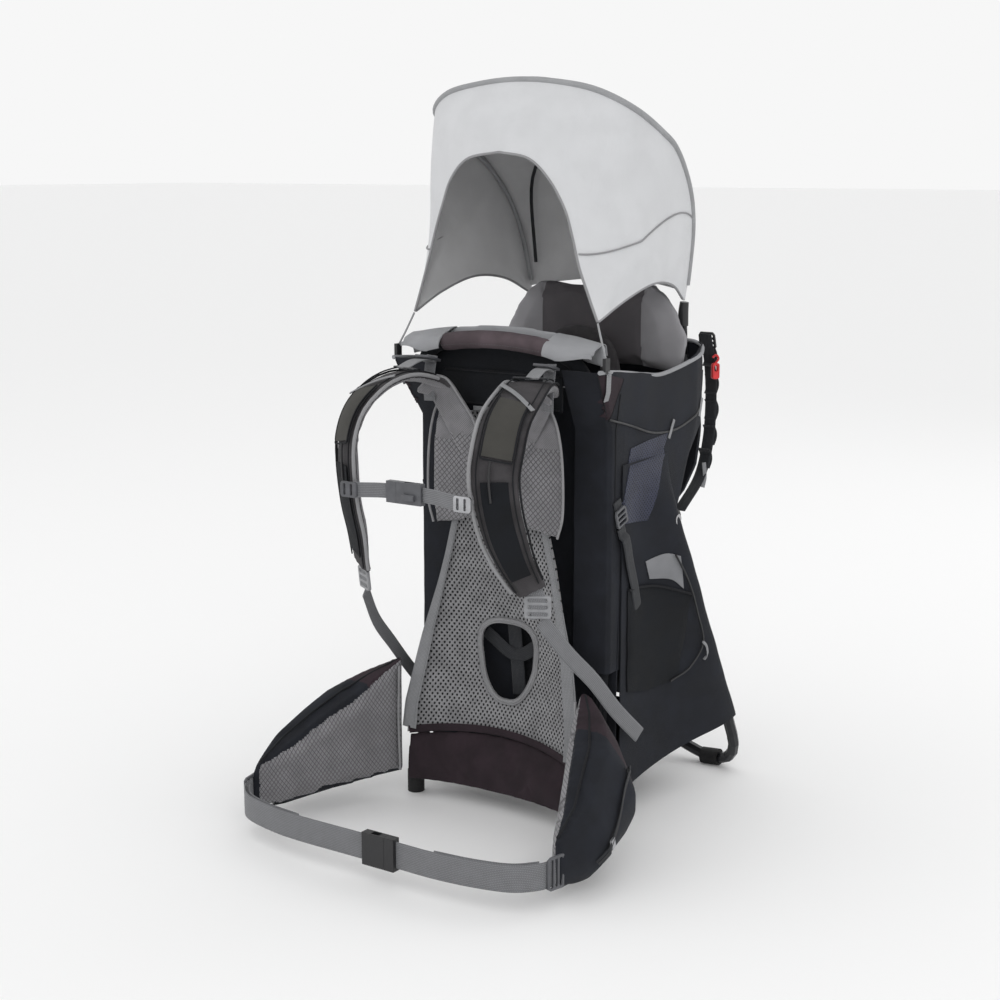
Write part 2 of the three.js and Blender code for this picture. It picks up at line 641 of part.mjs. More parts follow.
function buildSunshade() {
  const front = moulded([32, 4, 1], (u, v, w) => {
    const outer = hoop.getPointAt(u);
    const edge = clothEdge(u);
    const p = edge.lerp(outer, v);
    const swell = 10 * Math.sin(Math.PI * v) * Math.sin(Math.PI * u);
    return inwards(p, w * SHADE_T - swell);
  });
  const roof = moulded([10, 10, 1], (u, v, w) => inwards(
    roofPoint(2 * u - 1, 0.02 + 0.98 * v * 0.985), w * SHADE_T));
  add('canopy', join(front, roof), SHADE_FABRIC);

  const inset = [];
  for (let i = 0; i <= 16; i += 1) inset.push(inwards(hoop.getPointAt(0.015 + 0.97 * i / 16), HOOP_INSET));
  add('visor_hoop', tube(curve(inset), HOOP_R, 40, 6), SHADE_TRIM);

  const bow = [];
  for (let i = 0; i <= 12; i += 1) {
    const s = 1 - i / 6;
    const t = 0.08 + 0.42 * Math.sqrt(Math.max(0, 1 - s * s));
    bow.push(inwards(roofPoint(s * 0.93, t), HOOP_INSET + 9));
  }
  add('rear_bow', tube(curve(bow), HOOP_R, 28, 6), SHADE_TRIM);

  const corner = v3(160, 24, SHADE_Z - 13);
  const hook = v3(HOOK_X, HOOK_Y, HOOK_Z);
  const line = hook.clone().sub(corner).normalize();
  const cordTop = corner.clone().addScaledVector(line, 4);
  const cordEnd = hook.clone().addScaledVector(line, -13);
  addPair('tie_cord', rod(cordTop, cordEnd, CORD_R, 8), SHADE_FABRIC);

  const plate = block([HOOK_X - 2.5, HOOK_Y - 6, HOOK_Z - 7], [HOOK_X + 2.5, HOOK_Y + 6, HOOK_Z + 11]);
  addPair('shade_hook', plate, BUCKLE);
}

// ---------------------------------------------------------------- back panel

function meshHalfWidth(z) {
  return table([[60, 152], [150, 149], [258, 129], [330, 110], [440, 83], [620, 70]], z);
}

function meshPlace(x, z) {
  const edge = table([[60, -20], [150, -10], [258, 5], [330, 12], [385, 17], [620, 17]], z);
  const recess = table([[60, 22], [130, 40], [220, 46], [300, 34], [385, 8], [620, 4]], z);
  const s = Math.min(1, Math.abs(x) / meshHalfWidth(z));
  return edge + recess * (1 - s * s);
}

const HOLE_HALF = 62;
const HOLE_TOP = 286;
const HOLE_BOTTOM = 168;

function buildBackPanel() {
  const panel = moulded([10, 12, 1], (u, v, w) => {
    const s = 2 * u - 1;
    const bottom = MESH_BOTTOM + 14 * (1 - s * s);
    const z = lerp(bottom, MESH_TOP, v);
    const x = s * meshHalfWidth(z);
    return v3(x, meshPlace(x, z) + MESH_T * w, z);
  });
  const hole = new THREE.Shape();
  hole.moveTo(-HOLE_HALF, HOLE_TOP - 34);
  hole.quadraticCurveTo(-HOLE_HALF + 6, HOLE_TOP, 0, HOLE_TOP);
  hole.quadraticCurveTo(HOLE_HALF - 6, HOLE_TOP, HOLE_HALF, HOLE_TOP - 34);
  hole.quadraticCurveTo(HOLE_HALF - 16, HOLE_BOTTOM, 0, HOLE_BOTTOM);
  hole.quadraticCurveTo(-HOLE_HALF + 16, HOLE_BOTTOM, -HOLE_HALF, HOLE_TOP - 34);
  const punch = new THREE.ExtrudeGeometry(hole, { depth: 200, bevelEnabled: false, curveSegments: 6 });
  punch.rotateX(Math.PI / 2);
  punch.translate(0, 120, 0);
  add('mesh_back_panel', cut(panel, punch), GREY_MESH);

  const lumbar = moulded([10, 2, 1], (u, v, w) => {
    const s = 2 * u - 1;
    const top = MESH_BOTTOM + 14 * (1 - s * s) - 2;
    const z = lerp(30, top, v);
    return v3(s * 150, meshPlace(s * 150, Math.max(z, 60)) - 2 * (1 - v) + MESH_T * w, z);
  });
  add('lumbar_panel', lumbar, PLUM_FABRIC);
}

// ---------------------------------------------------------------- shoulder harness

const strapPath = curve([
  v3(84, 6, 634),
  v3(96, -26, 652),
  v3(109, -68, 660),
  v3(121, -109, 649),
  v3(126, -150, 622),
  v3(128, -170, 587),
  v3(126, -176, 547),
  v3(128, -166, 492),
  v3(133, -146, 441),
  v3(142, -128, 404),
  v3(148, -117, 386),
]);

const strapEnd = strapPath.getPointAt(1);
const STRAP_TURN = v3(0.87, 0.5, 0);  // the straps' width: their inner edges stand forward

function buildHarness() {
  // two shoulder-blade pads joined low down in a V
  const lobe = new THREE.Shape();
  lobe.moveTo(-2, 474);
  lobe.quadraticCurveTo(30, 450, 66, 438);
  lobe.lineTo(112, 432);
  lobe.quadraticCurveTo(122, 470, 118, 540);
  lobe.quadraticCurveTo(116, 600, 96, 622);
  lobe.quadraticCurveTo(82, 634, 70, 618);
  lobe.quadraticCurveTo(52, 580, 44, 556);
  lobe.quadraticCurveTo(24, 536, -2, 530);
  const flat = new THREE.ExtrudeGeometry(lobe, { depth: YOKE_T, bevelEnabled: false, curveSegments: 6 });
  flat.rotateX(Math.PI / 2);
  flat.translate(0, YOKE_Y + YOKE_T, 0);
  const right = closed(flat);
  const strapSpace = ribbon(strapPath, STRAP_TURN, () => STRAP_W + 8, () => STRAP_T + 3, 24);
  add('yoke', cut(join(right, mirrored(right)), strapSpace, mirrored(strapSpace)), GREY_MESH);

  const width = (u) => table([[0, 50], [0.15, 66], [0.5, STRAP_W], [0.8, STRAP_W - 4], [1, 46]], u);
  addPair('shoulder_strap', ribbon(strapPath, STRAP_TURN, width, () => STRAP_T, 18, 3), BODY_FABRIC);

  const buckle = curve([strapEnd.clone().add(v3(2, 3, -7)), strapEnd.clone().add(v3(6, 9, -38))]);
  addPair('strap_buckle', ribbon(buckle, STRAP_TURN, () => 36, () => 9, 1), BUCKLE);

  const lower = curve([
    strapEnd.clone().add(v3(7, 11, -42)),
    v3(171, -62, 288),
    v3(181, -12, 240),
    v3(186, 42, 184),
    v3(192, 100, 132),
  ]);
  addPair('lower_strap', ribbon(lower, v3(0.2, 0.75, 0.6), () => 24, () => WEBBING_T, 10), GREY_WEBBING);

  const lifter = curve([v3(103, -14, 676), v3(108, -40, 678), v3(112, -68, 671)]);
  addPair('load_lifter_strap', ribbon(lifter, v3(1, 0, 0), () => 22, () => WEBBING_T, 5), GREY_WEBBING);
}

// A side-release buckle along X. Each end is [outer face, joint] in X, and the male
// half's tongue fills most of the female half's mouth.
function buckleHalves(female, male, y, z, tall, thick) {
  const joint = Math.abs(female[0] - male[1]) < Math.abs(female[1] - male[0]) ? female[0] : female[1];
  const away = joint === female[0] ? -1 : 1;
  const depth = (female[1] - female[0]) * 0.68;
  const low = (x0, x1) => Math.min(x0, x1);
  const high = (x0, x1) => Math.max(x0, x1);
  const slab3 = (x0, x1, dy, dz) => block([low(x0, x1), y - dy, z - dz], [high(x0, x1), y + dy, z + dz]);
  const far = joint === female[0] ? female[1] : female[0];
  const base = joint === female[0] ? male[0] : male[1];
  const body = slab3(far, joint - away * GAP, thick / 2, tall / 2);
  const mouth = slab3(joint - away * depth, joint + away, thick / 2 - 2, tall / 2 - 3);
  const windows = slab3(joint - away * (depth - 2), joint - away * (depth * 0.4), thick / 2 - 2, tall);
  const block0 = slab3(joint, base, thick / 2, tall / 2);
  const tongue = slab3(joint + away, joint - away * (depth - 3), thick / 2 - 2.6, tall / 2 - 3.6);
  return [cut(body, mouth, windows), join(block0, tongue)];
}

function buildSternumStrap() {
  const tall = 30;
  const [female, male] = buckleHalves(STERNUM_FEMALE, STERNUM_MALE, STERNUM_Y, STERNUM_Z, tall, 10);
  add('sternum_buckle_female', female, BUCKLE);
  add('sternum_buckle_male', male, BUCKLE);

  // each webbing ends in a slider that stands just in front of its strap
  const half = WEBBING_T / 2;
  const [low, high] = [STERNUM_Z - STERNUM_W / 2, STERNUM_Z + STERNUM_W / 2];
  const strip = (x0) => join(
    block([x0, STERNUM_Y - half, low], [SLIDER_X, STERNUM_Y + half, high]),
    block([SLIDER_X - 4, STERNUM_Y - 24, low], [SLIDER_X, STERNUM_Y + half, high]),
    block([SLIDER_X - 4, STERNUM_Y - 24, low], [SLIDER_X + 30, STERNUM_Y - 21, high]));
  add('sternum_webbing_right', strip(STERNUM_FEMALE[1] + GAP), GREY_WEBBING);
  add('sternum_webbing_left', mirrored(strip(-STERNUM_MALE[0] + GAP)), GREY_WEBBING);
}

// ---------------------------------------------------------------- hip belt

const wingInner = [[0, 156, -12], [0.35, 188, -82], [0.8, 238, -186], [1, 256, -232]];
const wingOuter = [[0, 178, 6], [0.18, 232, -12], [0.42, 288, -66], [0.8, 301, -166], [1, 272, -240]];

function planPoint(rows, u) {
  return [table(rows.map(([t, x]) => [t, x]), u), table(rows.map(([t, , y]) => [t, y]), u)];
}

function wingPoint(u, v, w) {
  const [xi, yi] = planPoint(wingInner, u);
  const [xo, yo] = planPoint(wingOuter, u);
  const s = 2 * v - 1;
  const bulge = w * (1 - 0.45 * s * s);
  const bottom = table([[0, 38], [0.4, 24], [0.8, 16], [1, 24]], u);
  const top = table([[0, 222], [0.25, 196], [0.6, 152], [1, 90]], u);
  return v3(lerp(xi, xo, bulge), lerp(yi, yo, bulge), lerp(bottom, top, v));
}

function buildHipBelt() {
  addPair('hip_wing', moulded([14, 5, 2], wingPoint), BODY_FABRIC);

  const [female, male] = buckleHalves(HIP_FEMALE, HIP_MALE, HIP_Y, HIP_Z, HIP_W + 8, 13);
  add('hip_buckle_female', female, BUCKLE);
  add('hip_buckle_male', male, BUCKLE);

  const belt = (side, end) => curve([
    v3(side * 266, -238 - GAP, HIP_Z + 2),
    v3(side * 258, -262, HIP_Z + 1),
    v3(side * 230, -287, HIP_Z),
    v3(side * 180, -302, HIP_Z),
    v3(side * 120, HIP_Y, HIP_Z),
    v3(end, HIP_Y, HIP_Z),
  ]);
  const strip = (path) => ribbon(path, v3(0, 0, 1), () => HIP_W, () => WEBBING_T, 16);
  add('hip_webbing_right', strip(belt(1, HIP_MALE[1] + GAP)), GREY_WEBBING);
  add('hip_webbing_left', strip(belt(-1, HIP_FEMALE[0] - GAP)), GREY_WEBBING);

  const along = wingPoint(0.78, 0.5, 1).sub(wingPoint(0.44, 0.5, 1)).normalize();
  const out = along.clone().cross(v3(0, 0, 1)).normalize().negate();
  const at = wingPoint(0.76, 0.5, 1).addScaledVector(out, 3.2);
  const ends = [at.clone().addScaledVector(along, -5), at.clone().addScaledVector(along, 5)];
  addPair('zip_pull', ribbon(curve(ends), v3(0, 0, 1), () => 14, () => 3, 1), STEEL);
}

// ---------------------------------------------------------------- outer straps

function buildOuterStraps() {
  const x = BODY_HALF + 5;
  const hang = curve([v3(x, 72, 452), v3(x, 92, 395), v3(x + 2, 112, 340), v3(x + 4, 128, 288)]);
  addPair('side_strap', ribbon(hang, v3(0, 1, 0.35), () => 22, () => WEBBING_T, 6), DARK_WEBBING);

  const rear = curve([
    v3(148, BODY_REAR + 2, 700),
    v3(148, BODY_REAR + 18, 650),
    v3(148, BODY_REAR + 24, 596),
    v3(148, BODY_REAR + 18, 534),
    v3(148, BODY_REAR - 8, 478),
    v3(148, BODY_REAR - 70, 434),
  ]);
  addPair('rear_strap', ribbon(rear, v3(1, 0, 0), () => 20, () => WEBBING_T, 16), DARK_WEBBING);
}

// ---------------------------------------------------------------- assembly

buildMainFrame();
buildCockpitFrame();
buildKickstand();
buildBody();
buildStorage();
buildCockpitFittings();
buildSunshade();
buildBackPanel();
buildHarness();
buildSternumStrap();
buildHipBelt();
buildOuterStraps();

const box = new THREE.Box3().setFromObject(pack);
const middle = box.getCenter(v3());
pack.position.set(-middle.x, -middle.y, -box.min.z);

export default pack;
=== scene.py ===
"""Looks of a framed child carrier backpack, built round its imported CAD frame.

Lengths are millimetres in the design's own frame (X across, -Y the wearer's side, Z up, the
middle of the feet's front edge near Y 0), and at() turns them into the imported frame's metres.
"""

import json
from math import copysign, cos, hypot, pi, radians, sin

import bmesh
import bpy
import numpy as np
from mathutils import Matrix, Vector, noise
from mathutils.bvhtree import BVHTree

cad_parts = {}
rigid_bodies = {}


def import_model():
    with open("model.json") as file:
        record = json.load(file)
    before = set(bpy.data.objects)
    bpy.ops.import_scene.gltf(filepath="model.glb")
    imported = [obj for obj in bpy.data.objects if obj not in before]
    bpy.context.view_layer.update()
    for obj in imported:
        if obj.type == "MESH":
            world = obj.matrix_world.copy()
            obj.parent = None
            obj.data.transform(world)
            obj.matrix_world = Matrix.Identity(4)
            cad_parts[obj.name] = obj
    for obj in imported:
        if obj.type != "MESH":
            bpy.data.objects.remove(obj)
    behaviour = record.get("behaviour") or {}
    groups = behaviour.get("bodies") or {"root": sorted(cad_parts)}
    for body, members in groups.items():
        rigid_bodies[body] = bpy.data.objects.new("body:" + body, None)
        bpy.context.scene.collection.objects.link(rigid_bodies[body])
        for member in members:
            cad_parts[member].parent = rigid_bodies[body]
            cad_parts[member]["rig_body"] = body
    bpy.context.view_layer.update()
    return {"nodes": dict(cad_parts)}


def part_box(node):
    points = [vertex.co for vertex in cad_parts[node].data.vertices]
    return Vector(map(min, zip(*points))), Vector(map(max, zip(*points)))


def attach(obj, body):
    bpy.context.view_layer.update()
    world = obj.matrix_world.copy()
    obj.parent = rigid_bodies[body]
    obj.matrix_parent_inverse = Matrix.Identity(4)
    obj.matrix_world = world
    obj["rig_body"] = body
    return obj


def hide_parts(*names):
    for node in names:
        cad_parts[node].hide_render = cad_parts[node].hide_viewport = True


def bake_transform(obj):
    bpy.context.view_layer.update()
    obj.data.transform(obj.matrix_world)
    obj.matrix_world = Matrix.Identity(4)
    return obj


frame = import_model()
NODES = frame["nodes"]
MM = 0.001
FOOT_Y = 14                     # the front feet's centre in the design's frame
low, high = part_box("front_foot_right")
ORIGIN = Vector((0, (low.y + high.y) / 2 - FOOT_Y * MM, 0))
SIDES = ((1, "right"), (-1, "left"))
SWELL_FRAMES = 20               # how long the padding's cloth simulation runs
NET_PITCH = (7.2, 10.0)         # the back net's holes, across and up
HOOD_MIDDLE = np.array((0, 150, 830))


def at(x, y, z):
    return Vector((x * MM, y * MM, z * MM)) + ORIGIN


def to_frame(points):
    return np.asarray(points, float) * MM + np.array(ORIGIN)


def table(pairs, t):
    """The value at t on straight lines between the pairs."""
    return float(np.interp(t, [a for a, _ in pairs], [b for _, b in pairs]))


def smooth(t):
    t = min(1.0, max(0.0, t))
    return t * t * (3 - 2 * t)


def rgb(r, g, b):
    """Linear colour of an sRGB colour with channels up to 255."""
    return tuple((c / 255 / 12.92) if c <= 10 else ((c / 255 + 0.055) / 1.055) ** 2.4
                 for c in (r, g, b)) + (1.0,)


def curve(points, count=48):
    """A smooth line through the points, evenly spaced along its length."""
    p = np.asarray(points, float)
    p = np.vstack([2 * p[0] - p[1], p, 2 * p[-1] - p[-2]])
    found = []
    for i in range(1, len(p) - 2):
        a, b, c, d = p[i - 1:i + 3]
        for t in np.linspace(0, 1, 16, endpoint=False):
            found.append(0.5 * (2 * b + (c - a) * t + (2 * a - 5 * b + 4 * c - d) * t * t
                                + (3 * b - a - 3 * c + d) * t ** 3))
    found.append(p[-2])
    found = np.array(found)
    along = np.r_[0, np.cumsum(np.linalg.norm(np.diff(found, axis=0), axis=1))]
    want = np.linspace(0, along[-1], count)
    return np.stack([np.interp(want, along, found[:, k]) for k in range(3)], axis=1)


def flip(points, side):
    return [(side * x, y, z) for x, y, z in points]


def upright(x, *places):
    """A line in the plane at x, from its (y, z) places."""
    return [(x, y, z) for y, z in places]


# ---------------------------------------------------------------- materials


class Look:
    """A Principled material and the nodes that vary it over the surface."""

    def __init__(self, name, color, rough, metal=0.0, sheen=0.0, coat=0.0, specular=0.5):
        self.material = bpy.data.materials.new(name)
        self.material.use_nodes = True
        self.tree = self.material.node_tree
        self.shader = self.tree.nodes["Principled BSDF"]
        self.color = color
        put = self.shader.inputs
        put["Base Color"].default_value = color
        put["Roughness"].default_value = rough
        put["Metallic"].default_value = metal
        put["Sheen Weight"].default_value = sheen
        put["Sheen Roughness"].default_value = 0.5
        put["Coat Weight"].default_value = coat
        put["Specular IOR Level"].default_value = specular
        self.place = self.node("ShaderNodeTexCoord")
        split = self.node("ShaderNodeSeparateXYZ")
        self.link(self.place.outputs["Object"], split.inputs[0])
        self.x, self.y, self.z = split.outputs
        self.height = None

    def node(self, kind, **settings):
        made = self.tree.nodes.new(kind)
        for key, value in settings.items():
            setattr(made, key, value)
        return made

    def link(self, a, b):
        self.tree.links.new(a, b)

    def math(self, operation, a, b=None):
        made = self.node("ShaderNodeMath", operation=operation)
        for socket, value in zip(made.inputs, (a, b)):
            if value is None:
                continue
            if isinstance(value, (int, float)):
                socket.default_value = value
            else:
                self.link(value, socket)
        return made.outputs[0]

    def noise(self, scale, detail=3.0, stretch=None):
        made = self.node("ShaderNodeTexNoise")
        made.inputs["Scale"].default_value = scale
        made.inputs["Detail"].default_value = detail
        where = self.place.outputs["Object"]
        if stretch:
            mapping = self.node("ShaderNodeMapping")
            mapping.inputs["Scale"].default_value = stretch
            self.link(where, mapping.inputs["Vector"])
            where = mapping.outputs[0]
        self.link(where, made.inputs["Vector"])
        return made.outputs[0]

    def ramp(self, value, low, high):
        made = self.node("ShaderNodeMapRange", interpolation_type="SMOOTHSTEP")
        made.inputs["From Min"].default_value = low
        made.inputs["From Max"].default_value = high
        self.link(value, made.inputs["Value"])
        return made.outputs["Result"]

    def paint(self, factor, a, b):
        """Mixes two colours by factor, each a colour or the output of an earlier mix."""
        made = self.node("ShaderNodeMix", data_type="RGBA")
        self.link(factor, made.inputs["Factor"])
        for socket, value in ((made.inputs[6], a), (made.inputs[7], b)):
            if isinstance(value, tuple):
                socket.default_value = value
            else:
                self.link(value, socket)
        self.link(made.outputs[2], self.shader.inputs["Base Color"])
        return made.outputs[2]

    def relief(self, height, depth):
        """Adds a bump of that depth in millimetres."""
        made = self.node("ShaderNodeBump")
        made.inputs["Distance"].default_value = depth * MM
        made.inputs["Strength"].default_value = 1.0
        self.link(height, made.inputs["Height"])
        if self.height is not None:
            self.link(self.height, made.inputs["Normal"])
        self.height = made.outputs[0]
        self.link(self.height, self.shader.inputs["Normal"])

    def roughness(self, value, low, high):
        made = self.node("ShaderNodeMapRange")
        made.inputs["To Min"].default_value = low
        made.inputs["To Max"].default_value = high
        self.link(value, made.inputs["Value"])
        self.link(made.outputs["Result"], self.shader.inputs["Roughness"])

    def waves(self, across, along, pitch_u, pitch_v):
        """cos(u) cos(v): peaks in a staggered grid with those pitches in millimetres."""
        u = self.math("COSINE", self.math("MULTIPLY", across, 2 * pi / (pitch_u * MM)))
        v = self.math("COSINE", self.math("MULTIPLY", along, 2 * pi / (pitch_v * MM)))
        return self.math("MULTIPLY", u, v)


def shade(color, k):
    return tuple(min(1.0, c * k) for c in color[:3]) + (1.0,)


def fabric(name, color, thread=1.3, depth=0.12, vary=0.3, rough=0.86, sheen=0.03, grain=None):
    look = Look(name, color, rough, sheen=sheen, specular=0.22)
    flat = look.math("ADD", look.x, look.y)
    weave = look.waves(flat, look.z, thread, thread)
    cloud = look.ramp(look.noise(26, 4), 0.3, 0.72)
    tone = look.paint(cloud, shade(color, 1 - vary), shade(color, 1 + vary))
    # painted highlight: the weave's raised threads are painted lighter than the cloth
    thread_highlight = look.ramp(weave, 0.2, 1.0)
    look.paint(thread_highlight, tone, shade(color, 1.45))
    look.relief(weave, depth)
    look.relief(look.noise(60, 3, grain), 0.5)
    look.roughness(cloud, rough - 0.06, min(1.0, rough + 0.08))
    return look.material


def spacer(name, color, pit, pitch=(9.0, 7.6), open_share=0.25, depth=0.8, axis="flat"):
    """Knitted spacer mesh: staggered pits between raised threads, painted in the darker pit colour
    as painted shade.
    """
    look = Look(name, color, 0.88, sheen=0.2, specular=0.25)
    flat = look.math("ADD", look.x, look.y) if axis == "flat" else look.x
    grid = look.waves(flat, look.z, *pitch)
    hole = look.ramp(grid, open_share, open_share + 0.3)
    cloud = look.ramp(look.noise(40, 3), 0.3, 0.7)
    tone = look.paint(cloud, shade(color, 0.86), shade(color, 1.12))
    # painted shade: the pits take the darker pit colour
    look.paint(hole, tone, pit)
    look.relief(look.math("SUBTRACT", 1.0, hole), depth)
    look.relief(look.waves(flat, look.z, 1.5, 1.5), 0.12)
    look.roughness(hole, 0.82, 0.96)
    return look.material


def crosshatch(name, color, pit, pitch=6.2):
    """Embossed foam-backed knit, with its grooves along both diagonals painted in the darker pit
    colour as painted shade.
    """
    look = Look(name, color, 0.88, sheen=0.25, specular=0.25)
    flat = look.math("ADD", look.x, look.y)
    lines = []
    for operation in ("ADD", "SUBTRACT"):
        turned = look.math(operation, flat, look.z)
        wave = look.math("COSINE", look.math("MULTIPLY", turned, pi / (pitch * 1.41 * MM)))
        lines.append(look.math("ABSOLUTE", wave))
    cell = look.math("MINIMUM", *lines)
    raised = look.ramp(cell, 0.05, 0.5)
    cloud = look.ramp(look.noise(30, 3), 0.3, 0.7)
    tone = look.paint(cloud, shade(color, 0.88), shade(color, 1.1))
    # painted shade: the grooves take the darker pit colour, the ridges the cloth's tone
    look.paint(raised, pit, tone)
    look.relief(raised, 0.7)
    look.relief(look.waves(flat, look.z, 1.4, 1.4), 0.1)
    look.roughness(raised, 0.95, 0.84)
    return look.material


def webbing(name, color, light):
    """Woven tape: ribs along U and a herringbone of threads, whose tops are painted in the paler
    colour as painted highlight.
    """
    look = Look(name, color, 0.62, sheen=0.1, specular=0.35)
    split = look.node("ShaderNodeSeparateXYZ")
    look.link(look.place.outputs["UV"], split.inputs[0])
    u, v = split.outputs[0], split.outputs[1]
    fold = look.math("ABSOLUTE", look.math("SINE", look.math(
        "MULTIPLY", u, pi / (7.0 * MM))))
    lean = look.math("ADD", v, look.math("MULTIPLY", fold, 2.0 * MM))
    thread = look.math("COSINE", look.math("MULTIPLY", lean, 2 * pi / (2.2 * MM)))
    rib = look.math("COSINE", look.math("MULTIPLY", u, 2 * pi / (2.4 * MM)))
    both = look.math("MULTIPLY", look.math("ADD", thread, rib), 0.5)
    cloud = look.ramp(look.noise(70, 4), 0.25, 0.75)
    tone = look.paint(cloud, shade(color, 0.82), color)
    # painted highlight: the tops of the threads and ribs take the paler colour
    look.paint(look.ramp(both, -0.2, 1.0), tone, light)
    look.relief(both, 0.25)
    look.roughness(cloud, 0.55, 0.72)
    return look.material


def plastic(name, color, rough=0.42, speckle=0.05):
    look = Look(name, color, rough, specular=0.5)
    cloud = look.ramp(look.noise(90, 5), 0.3, 0.75)
    look.paint(cloud, shade(color, 0.86), shade(color, 1.12))
    look.relief(look.noise(1600, 2), speckle)
    look.roughness(cloud, rough - 0.07, rough + 0.1)
    return look.material


def metal(name, color, rough, metallic, coat=0.0):
    look = Look(name, color, rough, metal=metallic, coat=coat)
    cloud = look.ramp(look.noise(30, 6), 0.35, 0.7)
    scuff = look.ramp(look.noise(180, 8), 0.62, 0.8)
    tone = look.paint(cloud, shade(color, 0.9), shade(color, 1.15))
    look.paint(look.math("MULTIPLY", scuff, 0.3), tone, shade(color, 2.2))
    look.roughness(cloud, rough - 0.08, rough + 0.12)
    look.relief(look.noise(700, 3), 0.02)
    return look.material


BODY = fabric("body_cloth", rgb(31, 33, 39))
DARK = fabric("dark_panel_cloth", rgb(21, 23, 27), thread=1.0)
OUTER = fabric("strap_outer_cloth", rgb(68, 66, 68), thread=1.5, depth=0.16)
PLUM = fabric("plum_cloth", rgb(46, 37, 42))
GRIP = fabric("grip_cloth", rgb(83, 73, 77), thread=1.1)
RIM = fabric("rim_cloth", rgb(150, 151, 154), thread=1.2, vary=0.08, rough=0.78)
PAD = fabric("pad_cloth", rgb(138, 137, 140), thread=1.6, vary=0.1)
PAD_DARK = fabric("pad_centre_cloth", rgb(88, 85, 88), thread=1.6, vary=0.1)
LINING = fabric("lining_cloth", rgb(128, 129, 132), thread=1.2, vary=0.12)
POCKET = fabric("pocket_cloth", rgb(66, 65, 62), thread=1.2, vary=0.15)
SHADE = fabric("shade_cloth_outer", rgb(200, 201, 203), thread=1.0, depth=0.04, vary=0.035,
               rough=0.62, sheen=0.05)
# the inside of the hood, a touch darker than the outside: painted shade
SHADE_INNER = fabric("shade_cloth_inner", rgb(196, 196, 197), thread=1.0, depth=0.04, vary=0.05,
                     rough=0.7, sheen=0.05)
SHADE_TRIM = fabric("shade_binding", rgb(158, 159, 161), thread=0.9, vary=0.08)
PIPING = fabric("light_piping", rgb(146, 146, 148), thread=0.9, vary=0.08)
DARK_PIPING = fabric("dark_piping", rgb(30, 31, 34), thread=0.9)
THREAD = fabric("stitch_thread", rgb(96, 96, 98), thread=0.5)
# the nets' near-black pit colours: painted shade in their holes, and the dark body cloth seen
# through them
NET = spacer("back_net", rgb(142, 142, 144), rgb(22, 22, 24), pitch=NET_PITCH, axis="x")
SIDE_NET = spacer("side_pocket_net", rgb(46, 50, 70), rgb(7, 8, 11), pitch=(7.0, 6.4), depth=0.5)
# the yoke knit's darker pit colour is painted shade in its grooves
FOAM = crosshatch("yoke_knit", rgb(136, 135, 138), rgb(84, 83, 86))
# the strap knit's darker pit colour is painted shade in its pits
FOAM_FINE = spacer("strap_inner_knit", rgb(136, 135, 138), rgb(92, 91, 94), pitch=(3.6, 3.4),
                   open_share=0.35, depth=0.4)
# each webbing's second colour is the painted highlight on its thread tops
GREY_TAPE = webbing("grey_webbing", rgb(108, 109, 112), rgb(140, 141, 144))
LIGHT_TAPE = webbing("light_webbing", rgb(128, 129, 132), rgb(158, 159, 161))
DARK_TAPE = webbing("dark_webbing", rgb(30, 32, 36), rgb(50, 52, 57))
BUCKLE = plastic("buckle_plastic", rgb(84, 85, 89))
LOCK = plastic("lock_plastic", rgb(138, 139, 142))
DARK_PLASTIC = plastic("dark_plastic", rgb(34, 34, 36))
RED = plastic("red_plastic", rgb(205, 46, 48))
SILVER = metal("zip_metal", rgb(178, 179, 182), 0.34, 0.9)
STEEL = metal("pin_steel", rgb(170, 170, 172), 0.3, 0.95)
TUBE = metal("anodised_tube", rgb(40, 41, 44), 0.42, 0.55, coat=0.15)
RUBBER = plastic("rubber", rgb(22, 22, 23), rough=0.78, speckle=0.12)

# ---------------------------------------------------------------- mesh helpers


def add_object(name, data):
    made = bpy.data.objects.new(name, data)
    bpy.context.scene.collection.objects.link(made)
    return made


def finish_mesh(name, mesh, material, angle=40):
    """A smooth-shaded piece from a mesh, with one material or several."""
    mesh.materials.clear()
    for one in material if isinstance(material, (list, tuple)) else [material]:
        mesh.materials.append(one)
    mesh.name = name
    mesh.shade_smooth()
    mesh.set_sharp_from_angle(angle=radians(angle))
    return add_object(name, mesh)


def edit_mesh(mesh, *steps):
    """Runs bmesh steps on a mesh, each a function of the open bmesh."""
    work = bmesh.new()
    work.from_mesh(mesh)
    for step in steps:
        step(work)
    work.to_mesh(mesh)
    work.free()


def piece_from(name, verts, faces, material, uvs=None, angle=40):
    """A piece from points in millimetres, with a UV for each point in metres."""
    mesh = bpy.data.meshes.new(name)
    mesh.from_pydata([tuple(p) for p in to_frame(verts)], [], faces)
    if uvs is not None:
        layer = mesh.uv_layers.new(name="UVMap")
        index = np.zeros(len(mesh.loops), int)
        mesh.loops.foreach_get("vertex_index", index)
        layer.data.foreach_set("uv", np.asarray(uvs, float)[index].ravel())
    edit_mesh(mesh, lambda work: bmesh.ops.recalc_face_normals(work, faces=work.faces))
    return finish_mesh(name, mesh, material, angle)


def put(piece, body, slot, *nodes):
    """The piece rides a body and stands for CAD nodes, which it hides; its slot is not used."""
    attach(piece, body)
    if nodes:
        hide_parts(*nodes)
    return piece


def bridge(piece, slot, bodies, start, end, *nodes):
    """The piece's placement is baked into its mesh, and its CAD nodes are hidden; its bodies, start
    and end are not used.
    """
    if nodes:
        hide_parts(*nodes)
    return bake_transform(piece)


